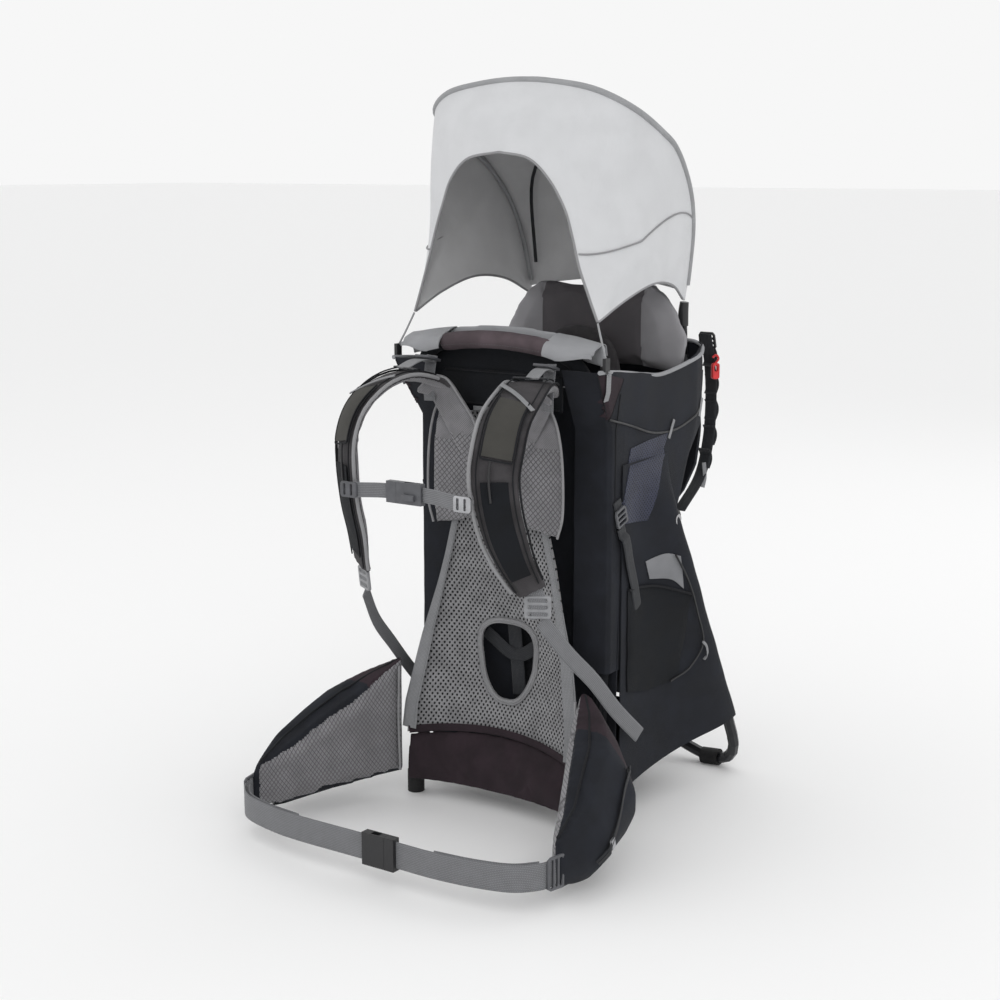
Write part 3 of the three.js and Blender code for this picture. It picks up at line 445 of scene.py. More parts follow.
def sweep(name, path, across, profile, material, angle=50, width=None):
    """A closed bar: profile points (u, w) along the across direction and the face normal."""
    path = np.asarray(path, float)
    tangent = np.gradient(path, axis=0)
    tangent /= np.linalg.norm(tangent, axis=1)[:, None]
    across = np.broadcast_to(np.asarray(across, float), path.shape)
    side = across - tangent * (across * tangent).sum(1)[:, None]
    side /= np.linalg.norm(side, axis=1)[:, None]
    face = np.cross(tangent, side)
    along = np.r_[0, np.cumsum(np.linalg.norm(np.diff(path, axis=0), axis=1))]
    n, m = len(path), len(profile)
    scale = np.ones(n) if width is None else np.array([width(i / (n - 1)) for i in range(n)])
    verts, uvs = [], []
    for i in range(n):
        for u, w in profile:
            verts.append(path[i] + side[i] * u * scale[i] + face[i] * w)
            uvs.append((u * scale[i] * MM, along[i] * MM))
    faces = [(i * m + j, i * m + (j + 1) % m, (i + 1) * m + (j + 1) % m, (i + 1) * m + j)
             for i in range(n - 1) for j in range(m)]
    faces.append(tuple(range(m))[::-1])
    faces.append(tuple((n - 1) * m + j for j in range(m)))
    return piece_from(name, verts, faces, material, uvs, angle)


def oval(a, b, sides=16):
    turns = [2 * pi * k / sides for k in range(sides)]
    return [(a * cos(turn), b * sin(turn)) for turn in turns]


def cord_piece(name, points, radius, material, count=40, sides=10, ready=False):
    path = np.asarray(points, float) if ready else curve(points, count)
    way = path[-1] - path[0]
    up = np.array((0.13, 0.21, 0.97)) if abs(way[2]) < 0.8 * np.linalg.norm(way) else np.array(
        (0.97, 0.2, 0.13))
    return sweep(name, path, up, oval(radius, radius, sides), material)


def tape_profile(width, thick, ribs=True):
    """Webbing's cross-section: rounded selvedges and a slightly thicker middle."""
    half, t = width / 2, thick / 2
    top = [(-half, 0), (-half + t * 0.7, t * 0.9), (-half * 0.72, t * (1.0 if ribs else 0.9)),
           (0, t * 1.0), (half * 0.72, t), (half - t * 0.7, t * 0.9), (half, 0)]
    return top + [(u, -w) for u, w in reversed(top[1:-1])]


def tape(name, points, across, width, material, thick=2.0, count=40, ready=False, taper=None):
    path = np.asarray(points, float) if ready else curve(points, count)
    return sweep(name, path, across, tape_profile(width, thick), material, 60, taper)


def grid_faces(n, m):
    return [(i * m + j, i * m + j + 1, (i + 1) * m + j + 1, (i + 1) * m + j)
            for i in range(n - 1) for j in range(m - 1)]


def shell(name, grid, thick, material, inner=None, angle=60):
    """A closed cloth shell from a grid of points [i][j], thickened along its own normals."""
    g = np.asarray(grid, float)
    du, dv = np.gradient(g, axis=0), np.gradient(g, axis=1)
    normal = np.cross(du, dv)
    normal /= np.maximum(np.linalg.norm(normal, axis=2), 1e-9)[..., None]
    n, m = g.shape[:2]
    outer, back = g.reshape(-1, 3), (g - normal * thick).reshape(-1, 3)
    faces = grid_faces(n, m)
    first, count = len(faces), n * m
    faces += [tuple(k + count for k in reversed(f)) for f in faces]
    index = np.arange(count).reshape(n, m)
    rim = [*index[0], *index[1:, -1], *index[-1, -2::-1], *index[-2:0:-1, 0]]
    for a, b in zip(rim, rim[1:] + rim[:1]):
        faces.append((a, a + count, b + count, b))
    made = piece_from(name, np.vstack([outer, back]), faces, material, angle=angle)
    if inner is not None:
        made.data.materials.append(inner)
        for polygon in made.data.polygons[first:2 * first]:
            polygon.material_index = 1
    return made


def evaluated(piece):
    """The piece with its modifiers' result as its mesh."""
    graph = bpy.context.evaluated_depsgraph_get()
    bpy.context.view_layer.update()
    mesh = bpy.data.meshes.new_from_object(piece.evaluated_get(graph))
    piece.modifiers.clear()
    piece.data = mesh
    return piece


def modify(piece, kind, **settings):
    """Adds one modifier and applies it."""
    made = piece.modifiers.new(kind.lower(), kind)
    for key, value in settings.items():
        setattr(made, key, value)
    return evaluated(piece)


def copy_node(name, node, material, levels):
    """A new piece from a CAD node's surface, welded and subdivided."""
    mesh = NODES[node].data.copy()
    edit_mesh(mesh,
              lambda work: bmesh.ops.remove_doubles(work, verts=work.verts, dist=0.02 * MM),
              lambda work: bmesh.ops.join_triangles(
                  work, faces=work.faces, angle_face_threshold=0.5, angle_shape_threshold=1.2))
    piece = finish_mesh(name, mesh, material)
    return modify(piece, "SUBSURF", subdivision_type="SIMPLE", levels=levels) if levels else piece


def coords(piece):
    found = np.empty(len(piece.data.vertices) * 3)
    piece.data.vertices.foreach_get("co", found)
    return found.reshape(-1, 3)


def set_coords(piece, points):
    piece.data.vertices.foreach_set("co", np.asarray(points, float).ravel())
    piece.data.update()


def normals(piece):
    found = np.empty(len(piece.data.vertices) * 3)
    piece.data.vertices.foreach_get("normal", found)
    return found.reshape(-1, 3)


def crumple(piece, depth, size, seed=0, stretch=(1, 1, 1)):
    """Soft folds: moves each point along its normal by smooth noise, depth in millimetres."""
    points, out = coords(piece), normals(piece)
    for k, p in enumerate(points):
        q = Vector([c / (size * MM) * s for c, s in zip(p, stretch)]) + Vector((seed, 0, 0))
        points[k] = p + out[k] * depth * MM * noise.noise(q)
    set_coords(piece, points)
    return piece


def groove(piece, path, depth, width):
    """Presses a sewn channel along a path of points in millimetres."""
    line = to_frame(path)
    points, out = coords(piece), normals(piece)
    for k, p in enumerate(points):
        near = np.linalg.norm(line - p, axis=1).min() / MM
        if near < width:
            points[k] = p - out[k] * depth * MM * (1 - near / width) ** 2
    set_coords(piece, points)
    return piece


def puff(name, node, material, voxel, inset, pressure, cap, rounds=4):
    """A padded piece: the CAD solid's surface remeshed, swollen as cloth, and capped."""
    piece = copy_node(name, node, material, 0)
    modify(piece, "REMESH", mode="VOXEL", voxel_size=voxel * MM)
    modify(piece, "SMOOTH", factor=0.5, iterations=rounds)
    start = coords(piece) - normals(piece) * inset * MM
    set_coords(piece, start)
    cloth = piece.modifiers.new("cloth", "CLOTH")
    stuff = cloth.settings
    stuff.use_pressure = True
    stuff.uniform_pressure_force = pressure
    stuff.effector_weights.gravity = 0
    stuff.quality = 4
    stuff.tension_stiffness = stuff.compression_stiffness = 40
    stuff.bending_stiffness = 6
    scene = bpy.context.scene
    cloth.point_cache.frame_start, cloth.point_cache.frame_end = 1, SWELL_FRAMES
    for step in range(1, SWELL_FRAMES + 1):
        scene.frame_set(step)
    swollen = evaluated(piece)
    moved = coords(swollen) - start
    far = np.linalg.norm(moved, axis=1)
    moved *= np.minimum(1, cap * MM / np.maximum(far, 1e-9))[:, None]
    set_coords(piece, start + moved)
    scene.frame_set(1)
    finish = modify(piece, "SUBSURF", levels=1).data
    finish.materials.clear()
    finish.materials.append(material)
    finish.shade_smooth()
    return piece


def mirror_piece(piece, name):
    """A copy of the piece on the other side of the middle plane."""
    mesh = piece.data.copy()
    mesh.transform(Matrix.Diagonal((-1, 1, 1, 1)))
    mesh.flip_normals()
    return add_object(name, mesh)


def paint_faces(piece, material, test):
    """Gives the faces that pass the test another material."""
    piece.data.materials.append(material)
    index = len(piece.data.materials) - 1
    for polygon in piece.data.polygons:
        c = polygon.center - ORIGIN
        if test(c.x / MM, c.y / MM, c.z / MM, polygon.normal):
            polygon.material_index = index
    return piece


def surface(*pieces):
    """A tree of the pieces' surfaces, to lay trim on."""
    verts, faces = [], []
    for one in pieces:
        mesh = (NODES.get(one) or bpy.data.objects[one] if isinstance(one, str) else one).data
        first = len(verts)
        verts += [v.co.copy() for v in mesh.vertices]
        faces += [tuple(first + k for k in p.vertices) for p in mesh.polygons]
    return BVHTree.FromPolygons(verts, faces)


def lay(tree, points, way, off=0.5):
    """Points dropped onto a surface along a direction, standing off it, in millimetres."""
    way = Vector(way).normalized()
    found = []
    for p in points:
        start = at(*p) - way * 0.3
        spot = tree.ray_cast(start, way, 0.7)[0]
        if spot is None:
            spot = tree.find_nearest(at(*p))[0]
        q = (spot - way * off * MM - ORIGIN) / MM
        found.append(tuple(q))
    return found


def seam(name, tree, points, way, radius, material, body, slot, count=40, off=0.0):
    path = lay(tree, curve(points, count), way, off)
    return put(cord_piece(name, path, radius, material, ready=True, sides=8), body, slot)


def patch(name, tree, corners, way, material, body, slot, off=1.0, thick=1.2, cells=(16, 16),
          crown=0.0, node_names=()):
    """A piece of cloth on a surface, between two edge lines of points, corners=(edge, edge)."""
    first, last = (curve(edge, cells[0] + 1) for edge in corners)
    rows = []
    for i in range(cells[1] + 1):
        t = i / cells[1]
        row = [tuple(a * (1 - t) + b * t) for a, b in zip(first, last)]
        flat = np.array(lay(tree, row, way, off))
        belly = np.sin(np.pi * np.linspace(0, 1, len(row))) ** 0.6 * sin(pi * t)
        rows.append(flat - np.outer(belly * crown, np.array(way)))
    grid = np.array(rows)
    made = shell(name, grid, thick, material)
    toward = sum((p.normal for p in made.data.polygons[:cells[0] * cells[1]]), Vector())
    if toward.dot(Vector(way)) > 0:
        bpy.data.objects.remove(made)
        made = shell(name, grid[:, ::-1], thick, material)
    return put(made, body, slot, *node_names)


def plate(name, outline, holes, thick, place, material, bevel=0.7):
    """A moulded plate from a flat outline with holes, set in place by a matrix."""
    data = bpy.data.curves.new(name, "CURVE")
    data.dimensions = "2D"
    data.fill_mode = "BOTH"
    for ring in [outline, *holes]:
        spline = data.splines.new("POLY")
        spline.points.add(len(ring) - 1)
        for point, (u, w) in zip(spline.points, ring):
            point.co = (u * MM, w * MM, 0, 1)
        spline.use_cyclic_u = True
    data.extrude = (thick / 2 - bevel) * MM
    data.bevel_depth = bevel * MM
    data.bevel_resolution = 2
    data.offset = -bevel * MM
    holder = add_object(name + "_outline", data)
    bpy.context.view_layer.update()
    graph = bpy.context.evaluated_depsgraph_get()
    mesh = bpy.data.meshes.new_from_object(holder.evaluated_get(graph))
    bpy.data.objects.remove(holder)
    mesh.transform(place)
    return finish_mesh(name, mesh, material, 50)


def rounded(w, h, r, x=0.0, y=0.0, steps=4):
    """A rectangle's outline with round corners, about x, y."""
    ring = []
    for k, (sx, sy) in enumerate(((1, 1), (-1, 1), (-1, -1), (1, -1))):
        for s in range(steps + 1):
            a = pi / 2 * (k + s / steps)
            ring.append((x + sx * (w / 2 - r) + r * cos(a),
                         y + sy * (h / 2 - r) + r * sin(a)))
    return ring


def placed(origin, across, along):
    """A matrix whose X runs across, Y along, and Z out of a plate at the origin."""
    x = Vector(across).normalized()
    y = Vector(along).normalized()
    z = x.cross(y).normalized()
    y = z.cross(x)
    turn = Matrix((x, y, z)).transposed().to_4x4()
    return Matrix.Translation(at(*origin)) @ turn


def ladder_lock(name, origin, across, along, width, body, slot="buckle_plastic", tall=None,
                material=None):
    """The buckle that a webbing tail runs through: a frame with three bars, and its lip."""
    tall = tall or width * 0.95
    outer = width + 9
    slots = [rounded(width + 1, tall * 0.17, 1.6, 0, y)
             for y in (-tall * 0.3, -0.02 * tall, tall * 0.26)]
    ring = [(-outer / 2, -tall / 2 + 2), (-outer / 2 + 2, -tall / 2), (outer / 2 - 2, -tall / 2),
            (outer / 2, -tall / 2 + 2), (outer / 2 - 0.5, tall * 0.32), (outer / 2 - 4, tall / 2),
            (-outer / 2 + 4, tall / 2), (-outer / 2 + 0.5, tall * 0.32)]
    made = plate(name, ring, slots, 3.6, placed(origin, across, along), material or BUCKLE)
    return put(made, body, slot)


def stitches(name, path, across, body, count, material=THREAD, slot="dark_webbing", length=2.6,
             radius=0.35):
    """A row of separate thread stitches along a path in millimetres."""
    line = curve(path, count * 2)
    verts, faces = [], []
    across = np.asarray(across, float)
    for k in range(0, len(line) - 1, 2):
        a, b = line[k], line[k] + (line[k + 1] - line[k]) / max(
            np.linalg.norm(line[k + 1] - line[k]), 1e-6) * length
        way = (b - a) / np.linalg.norm(b - a)
        u = across / np.linalg.norm(across)
        w = np.cross(way, u)
        first = len(verts)
        for end, size in ((a, 0.4), (a * 0.75 + b * 0.25, 1), (a * 0.25 + b * 0.75, 1), (b, 0.4)):
            for c, s in ((1, 0), (0.5, 0.87), (-0.5, 0.87), (-1, 0), (-0.5, -0.87), (0.5, -0.87)):
                verts.append(end + (u * c + w * s) * radius * size)
        for ring in range(3):
            for j in range(6):
                p, q = first + ring * 6, first + ring * 6 + 6
                faces.append((p + j, p + (j + 1) % 6, q + (j + 1) % 6, q + j))
        faces.append(tuple(first + j for j in range(6)))
        faces.append(tuple(first + 18 + j for j in range(6)))
    return put(piece_from(name, verts, faces, material), body, slot)


# ---------------------------------------------------------------- carried-over CAD nodes

CARRIED = (
    (TUBE, ("main_frame", "lower_crossbar", "cockpit_frame", "kickstand_frame", "rear_bow")),
    (RUBBER, ("front_foot_right", "front_foot_left", "kickstand_foot_right",
              "kickstand_foot_left")),
    (DARK_PLASTIC, ("pivot_bracket_right", "pivot_bracket_left", "kickstand_hub_right",
                    "kickstand_hub_left", "shade_hook_right", "shade_hook_left")),
    (STEEL, ("hinge_pin_right", "hinge_pin_left")),
    (SILVER, ("zip_pull_right", "zip_pull_left")),
    (BUCKLE, ("sternum_buckle_female", "sternum_buckle_male")),
    (DARK_PLASTIC, ("hip_buckle_female", "hip_buckle_male", "seat_buckle")),
    (SHADE_TRIM, ("visor_hoop",)),
)
for material, nodes in CARRIED:
    for node in nodes:
        mesh = NODES[node].data
        mesh.materials.clear()
        mesh.materials.append(material)

# ---------------------------------------------------------------- body and luggage

put(crumple(copy_node("body_shell", "cockpit_shell", BODY, 2), 1.4, 55, 3), "root",
    "body_fabric", "cockpit_shell")

front_panel = copy_node("upper_panel", "upper_front_panel", DARK, 3)
put(crumple(front_panel, 1.2, 26, 9), "root", "body_fabric", "upper_front_panel")

LEG_RUN, LEG_OUT, PIVOT = 184.3, 36.8, (184, 198, 440)
HEM_REAR, HEM_FRONT, POCKET_TOP = 105, 42, 536
SIDE_X, SIDE_FRONT_Y = 170.2, 78        # the body's side wall, and where the cloth starts
LEG_WRAP = 12                           # the cloth's distance from the leg's middle
LEG_TOP = 452


def leg_point(z):
    t = (PIVOT[2] - z) / PIVOT[2]
    return np.array((PIVOT[0] + LEG_OUT * t, PIVOT[1] + LEG_RUN * t, z))


def side_cloth(u, v):
    """The luggage compartment's side: from the body, over the kickstand's leg and round it."""
    z = (HEM_FRONT + (HEM_REAR - HEM_FRONT) * min(u, 1)) * (1 - v) + POCKET_TOP * v
    leg = leg_point(min(z, LEG_TOP))
    fade = 1 - smooth((z - 440) / 90)
    if u <= 1:
        reach = (leg[0] + LEG_WRAP - SIDE_X) * smooth(u ** 1.6) * fade
        sag = 3.5 * sin(pi * u) * sin(pi * v * 0.9)
        return (SIDE_X + reach - sag * smooth(4 * u) * fade,
                SIDE_FRONT_Y + (leg[1] - SIDE_FRONT_Y) * u, z)
    turn = (u - 1) * 7.5
    side_x = leg[0] + LEG_WRAP * cos(turn)
    return (SIDE_X + (side_x - SIDE_X) * fade, leg[1] + (LEG_WRAP + 1) * sin(turn), z)


STAND = ("root", "kickstand")
SAIL = np.array((0, 0.922, 0.386))      # in the side's plane, square to the leg


def sail_bend(side):
    """Two places on the luggage compartment's side, the second 95 mm on from the first."""
    start = np.array((side * 168, 176.6, 200))
    return start, start + SAIL * 95


for side, word in SIDES:
    cells = [*np.linspace(0, 1, 44), *np.linspace(1.04, 1.36, 9)]
    rows = [[side_cloth(u, v) for u in cells] for v in np.linspace(0, 1, 60)]
    rows = [[(side * x, y, z) for x, y, z in row[::side]] for row in rows]
    gusset = shell(f"luggage_side_{word}", rows, 1.6, BODY)
    crumple(gusset, 1.8, 62, 5 + side, (0.8, 0.8, 1.4))
    bridge(gusset, "body_fabric", STAND, *sail_bend(side), f"gusset_{word}")

SIDE = surface("cockpit_shell", "luggage_side_right", "luggage_side_left")


def on_sail(piece, side, slot):
    """A piece sewn on the luggage compartment's side, taken off its body with its placement baked
    into its mesh.
    """
    world = piece.matrix_world.copy()
    piece.parent = None
    piece.matrix_world = world
    if "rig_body" in piece:
        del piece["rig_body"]
    return bridge(piece, slot, STAND, *sail_bend(side))


bridge(copy_node("luggage_floor", "storage_floor", BODY, 2), "body_fabric", STAND,
       (0, 110, 60), (0, 330, 100), "storage_floor")
luggage_rear = copy_node("luggage_rear", "storage_rear_panel", BODY, 3)
put(crumple(luggage_rear, 2.0, 60, 14), "kickstand", "body_fabric", "storage_rear_panel")

closing = [[(x, 243 - 22 * t + 3 * cos(x / 40), 452 - 62 * t)
            for x in np.linspace(-160, 160, 40)] for t in np.linspace(0, 1, 14)]
luggage_top = shell("luggage_top", closing, 1.6, BODY)
bridge(crumple(luggage_top, 1.5, 40, 23), "body_fabric", STAND, (0, 242, 446), (0, 222, 396))

for side, word in SIDES:
    post = [(side * 137, 307, 716), (side * 137.5, 307, 738), (side * 139, 307, 752)]
    socket = sweep(f"shade_socket_{word}", curve(post, 14), (1, 0, 0), oval(8.5, 7.5),
                   DARK_PLASTIC, width=lambda t: 1 - 0.22 * t * t)
    put(socket, "root", "buckle_plastic")

# ---------------------------------------------------------------- padded pieces

handle_grip = put(puff("handle_grip", "handle_pad", GRIP, 4, 1.0, 3, 3), "root", "grip_fabric",
                  "handle_pad")
rim_band = put(puff("rim_band", "front_rim_pad", RIM, 4, 0.5, 3, 4, 2), "root", "rim_fabric",
               "front_rim_pad")

seat_cushion = puff("seat_cushion", "child_seat", PAD, 5, 2, 4, 8)
for x in (-62, 0, 62):
    groove(seat_cushion, curve([(x, 236, 628), (x, 236, 560), (x, 236, 520)], 30), 3, 7)
groove(seat_cushion, curve([(-104, 238, 545), (0, 236, 540), (104, 238, 545)], 60), 3, 7)
put(seat_cushion, "seat", "pad_fabric", "child_seat")

headrest = puff("headrest_cushion", "headrest", PAD, 5, 2, 4, 8)
for side in (1, -1):
    groove(headrest, curve([(side * 92, 266, 776), (side * 84, 267, 720), (side * 96, 266, 650)],
                           50), 4, 8)
paint_faces(headrest, PAD_DARK, lambda x, y, z, n: abs(x) < 90)
put(headrest, "root", "pad_fabric", "headrest")

halo = puff("halo_pad", "halo_harness", OUTER, 4, 0.5, 3, 3)
put(halo, "seat", "body_fabric", "halo_harness")

lumbar = puff("lumbar_pad", "lumbar_panel", PLUM, 4, 0.2, 3, 5, 2)
for x in (-75, 75):
    groove(lumbar, curve([(x, -18, 30), (x * 0.8, 6, 70), (x * 0.7, 20, 110)], 40), 2.5, 6)
put(lumbar, "root", "plum_fabric", "lumbar_panel")

yoke = puff("yoke_pad", "yoke", FOAM, 4, 0.5, 4, 5)
for side in (1, -1):
    groove(yoke, curve([(side * 44, 3, 560), (side * 80, 3, 556), (side * 118, 3, 562)], 60), 3, 5)
    groove(yoke, curve([(side * 12, 3, 470), (side * 16, 3, 500), (side * 12, 3, 534)], 40), 3, 5)
paint_faces(yoke, FOAM_FINE, lambda x, y, z, n: z > 562)
put(yoke, "harness", "back_mesh", "yoke")

# the middle line of the right shoulder strap, from the yoke to its lock
STRAP = [(84, 6, 634), (96, -26, 652), (109, -68, 660), (121, -109, 649), (126, -150, 622),
         (128, -170, 587), (126, -176, 547), (128, -166, 492), (133, -146, 441), (142, -128, 404),
         (148, -117, 386)]
STRAP_TURN = np.array((0.87, 0.5, 0)) / hypot(0.87, 0.5)
strap_line = curve(STRAP, 120)
strap_way = np.gradient(strap_line, axis=0)
strap_way /= np.linalg.norm(strap_way, axis=1)[:, None]
strap_side = STRAP_TURN - strap_way * (strap_way @ STRAP_TURN)[:, None]
strap_side /= np.linalg.norm(strap_side, axis=1)[:, None]
strap_face = np.cross(strap_way, strap_side)
# the outer face turns away from the wearer's shoulder
if strap_face[60][1] > 0:
    strap_face = -strap_face


def strap_width(t):
    return table([[0, 50], [0.15, 66], [0.5, 70], [0.8, 66], [1, 46]], t)


def on_strap(t, across, out=7.5):
    """A point on the right shoulder strap: t along it, across -1..1, and out from its middle."""
    k = t * (len(strap_line) - 1)
    i = min(int(k), len(strap_line) - 2)
    f = k - i
    mid = strap_line[i] * (1 - f) + strap_line[i + 1] * f
    wide = strap_side[i] * across * strap_width(t) / 2
    return mid + wide + strap_face[i] * out


right_strap = puff("shoulder_pad_right", "shoulder_strap_right", OUTER, 4, 1.0, 4, 2.2)
for across in (-0.72, 0.72):
    groove(right_strap, [on_strap(t, across) for t in np.linspace(0.02, 0.98, 160)], 2.6, 5)
    groove(right_strap, [on_strap(t, across, -7.5) for t in np.linspace(0.02, 0.98, 160)], 2.0, 5)


def inner_side(x, y, z, n):
    spot = np.array((abs(x), y, z))
    k = int(np.linalg.norm(strap_line - spot, axis=1).argmin())
    return float(np.dot(spot - strap_line[k], strap_face[k])) < -1


paint_faces(right_strap, FOAM_FINE, inner_side)
left_strap = mirror_piece(right_strap, "shoulder_pad_left")
for piece, word in ((right_strap, "right"), (left_strap, "left")):
    put(piece, "harness", "harness_fabric", f"shoulder_strap_{word}")

right_wing = puff("hip_pad_right", "hip_wing_right", BODY, 5, 2, 4, 7)
# the right hip wing's inner and outer faces in plan, as rows of share along it, X and Y
WING_IN = [[0, 156, -12], [0.35, 188, -82], [0.8, 238, -186], [1, 256, -232]]
WING_OUT = [[0, 178, 6], [0.18, 232, -12], [0.42, 288, -66], [0.8, 301, -166], [1, 272, -240]]


def wing_point(u, v, w, out=0.0):
    """A point on the right hip wing: u along it, v up it, w from its inner to its outer face."""
    xi, xo = (table([[r[0], r[1]] for r in rows], u) for rows in (WING_IN, WING_OUT))
    yi, yo = (table([[r[0], r[2]] for r in rows], u) for rows in (WING_IN, WING_OUT))
    s = 2 * v - 1
    bulge = w * (1 - 0.45 * s * s)
    bottom = table([[0, 38], [0.4, 24], [0.8, 16], [1, 24]], u)
    top = table([[0, 222], [0.25, 196], [0.6, 152], [1, 90]], u)
    p = np.array((xi + (xo - xi) * bulge, yi + (yo - yi) * bulge, bottom + (top - bottom) * v))
    way = np.array((xo - xi, yo - yi, 0.0))
    return p + way / max(np.linalg.norm(way), 1e-6) * out


for v in (0.36, 0.66):
    groove(right_wing, [wing_point(u, v, 0) for u in np.linspace(0.08, 0.9, 120)], 5, 9)
groove(right_wing, [wing_point(0.06, v, 0) for v in np.linspace(0.1, 0.9, 60)], 4, 8)


WING_PLAN = np.array([(row[1], row[2]) for row in WING_IN], float)


def wing_inner(x, y, z, n):
    """Whether a point of a hip pad is on its inner face: near the inner line in plan."""
    spot = np.array((abs(x), y))
    a, b = WING_PLAN[:-1], WING_PLAN[1:]
    run = b - a
    t = np.clip(((spot - a) * run).sum(1) / (run ** 2).sum(1), 0, 1)
    gap = spot - (a + run * t[:, None])
    k = int(np.linalg.norm(gap, axis=1).argmin())
    outward = np.array((-run[k][1], run[k][0])) / np.linalg.norm(run[k])
    return float(gap[k] @ outward) < 4.5 and y < -14


paint_faces(right_wing, FOAM, wing_inner)
paint_faces(right_wing, PLUM, lambda x, y, z, n: not wing_inner(x, y, z, n) and y > -64
            and z > 118)
left_wing = mirror_piece(right_wing, "hip_pad_left")
for piece, word in ((right_wing, "right"), (left_wing, "left")):
    put(piece, "root", "body_fabric", f"hip_wing_{word}")

# ---------------------------------------------------------------- back net


def net_half(z):
    return table([[60, 152], [150, 149], [258, 129], [330, 110], [440, 83], [620, 70]], z)


def net_y(x, z):
    edge = table([[60, -20], [150, -10], [258, 5], [330, 12], [385, 17], [620, 17]], z)
    recess = table([[60, 22], [130, 40], [220, 46], [300, 34], [385, 8], [620, 4]], z)
    s = min(1, abs(x) / net_half(z))
    return edge + recess * (1 - s * s)


def hole_point(a):
    """The hole's edge at angle a: a shield, wider at its top."""
    c, d = cos(a), sin(a)
    return (copysign(abs(c) ** 0.72, c) * (47 + 13 * d), 0,
            227 + 59 * copysign(abs(d) ** 0.8, d))


HOLE_RING = np.array([hole_point(a) for a in np.linspace(0.5, 0.5 + 2 * pi, 97)])


def in_hole(x, z):
    """Whether a place on the net is inside the hole's outline."""
    ring_x, ring_z = HOLE_RING[:, 0], HOLE_RING[:, 2]
    rise = np.diff(ring_z)
    over = (ring_z[:-1] > z) != (ring_z[1:] > z)
    cut = ring_x[:-1] + (z - ring_z[:-1]) * np.diff(ring_x) / np.where(rise == 0, 1e-9, rise)
    return bool((over & (x < cut)).sum() % 2)


NET_TOP, NET_BOTTOM, NET_T, PIT_DEPTH = 603, 104, 4.6, 2.4


def make_net(columns=190, rows=320):
    """The net as a grid with a dimple for each of its holes, cut away at the shield."""
    front, back, keep = [], [], []
    for j in range(rows + 1):
        line = []
        for i in range(columns + 1):
            s = 2 * i / columns - 1
            bottom = NET_BOTTOM + 14 * (1 - s * s)
            z = bottom + (NET_TOP - bottom) * j / rows
            x = s * net_half(z)
            y = net_y(x, z)
            pit = (cos(2 * pi * x / NET_PITCH[0])
                   * cos(2 * pi * z / NET_PITCH[1]))
            hollow = PIT_DEPTH * smooth((pit - 0.1) / 0.7) if abs(s) < 0.96 else 0
            front.append((x, y + hollow, z))
            back.append((x, y + NET_T, z))
            line.append(in_hole(x, z))
        keep.append(line)
    m = columns + 1
    total = len(front)
    faces, gone = [], np.array(keep)
    for j in range(rows):
        for i in range(columns):
            if gone[j:j + 2, i:i + 2].any():
                continue
            a = j * m + i
            faces.append((a, a + 1, a + m + 1, a + m))
            faces.append((total + a, total + a + m, total + a + m + 1, total + a + 1))
    edges = {}
    for f in faces[::2]:
        for a, b in zip(f, f[1:] + f[:1]):
            edges[(a, b)] = True
    for a, b in list(edges):
        if (b, a) not in edges:
            faces.append((b, a, a + total, b + total))
    return piece_from("back_net", front + back, faces, NET, angle=80)


back_net = put(make_net(), "root", "back_mesh", "mesh_back_panel")
edit_mesh(back_net.data, lambda work: bmesh.ops.delete(
    work, geom=[v for v in work.verts if not v.link_faces], context="VERTS"))

ring = [(x * 1.04, net_y(x, z) - 1.5, 227 + (z - 227) * 1.04) for x, _, z in HOLE_RING]
put(sweep("net_hole_binding", ring, (0, 1, 0), tape_profile(4, 9), PIPING, 60), "root",
    "light_piping")
for side, word in SIDES:
    edge = [(side * (net_half(z) - 4), net_y(net_half(z) - 4, z) - 3.4, z)
            for z in np.linspace(112, 590, 60)]
    put(tape(f"net_border_{word}", edge, (1, 0, 0), 1, LIGHT_TAPE, 1.6, ready=True,
             taper=lambda t: table([[0, 26], [0.25, 22], [0.5, 12], [1, 9]], t)),
        "root", "light_piping")
lumbar_line = [(x, net_y(x, 112) - 4, 108 + 14 * (1 - (x / 150) ** 2))
               for x in np.linspace(-146, 146, 60)]
put(tape("lumbar_binding", lumbar_line, (0, 0, 1), 12, PLUM, 2, ready=True), "root",
    "plum_fabric")
for k, ends in enumerate((((-52, 56, 262), (0, 60, 232), (52, 56, 262)),
                          ((-6, 62, 284), (0, 62, 226), (6, 60, 172)))):
    put(tape(f"hole_strap_{k}", ends, (0, 0, 1) if k == 0 else (1, 0, 0), 20 if k == 0 else 24,
             DARK_TAPE), "root", "dark_webbing")

# ---------------------------------------------------------------- webbing

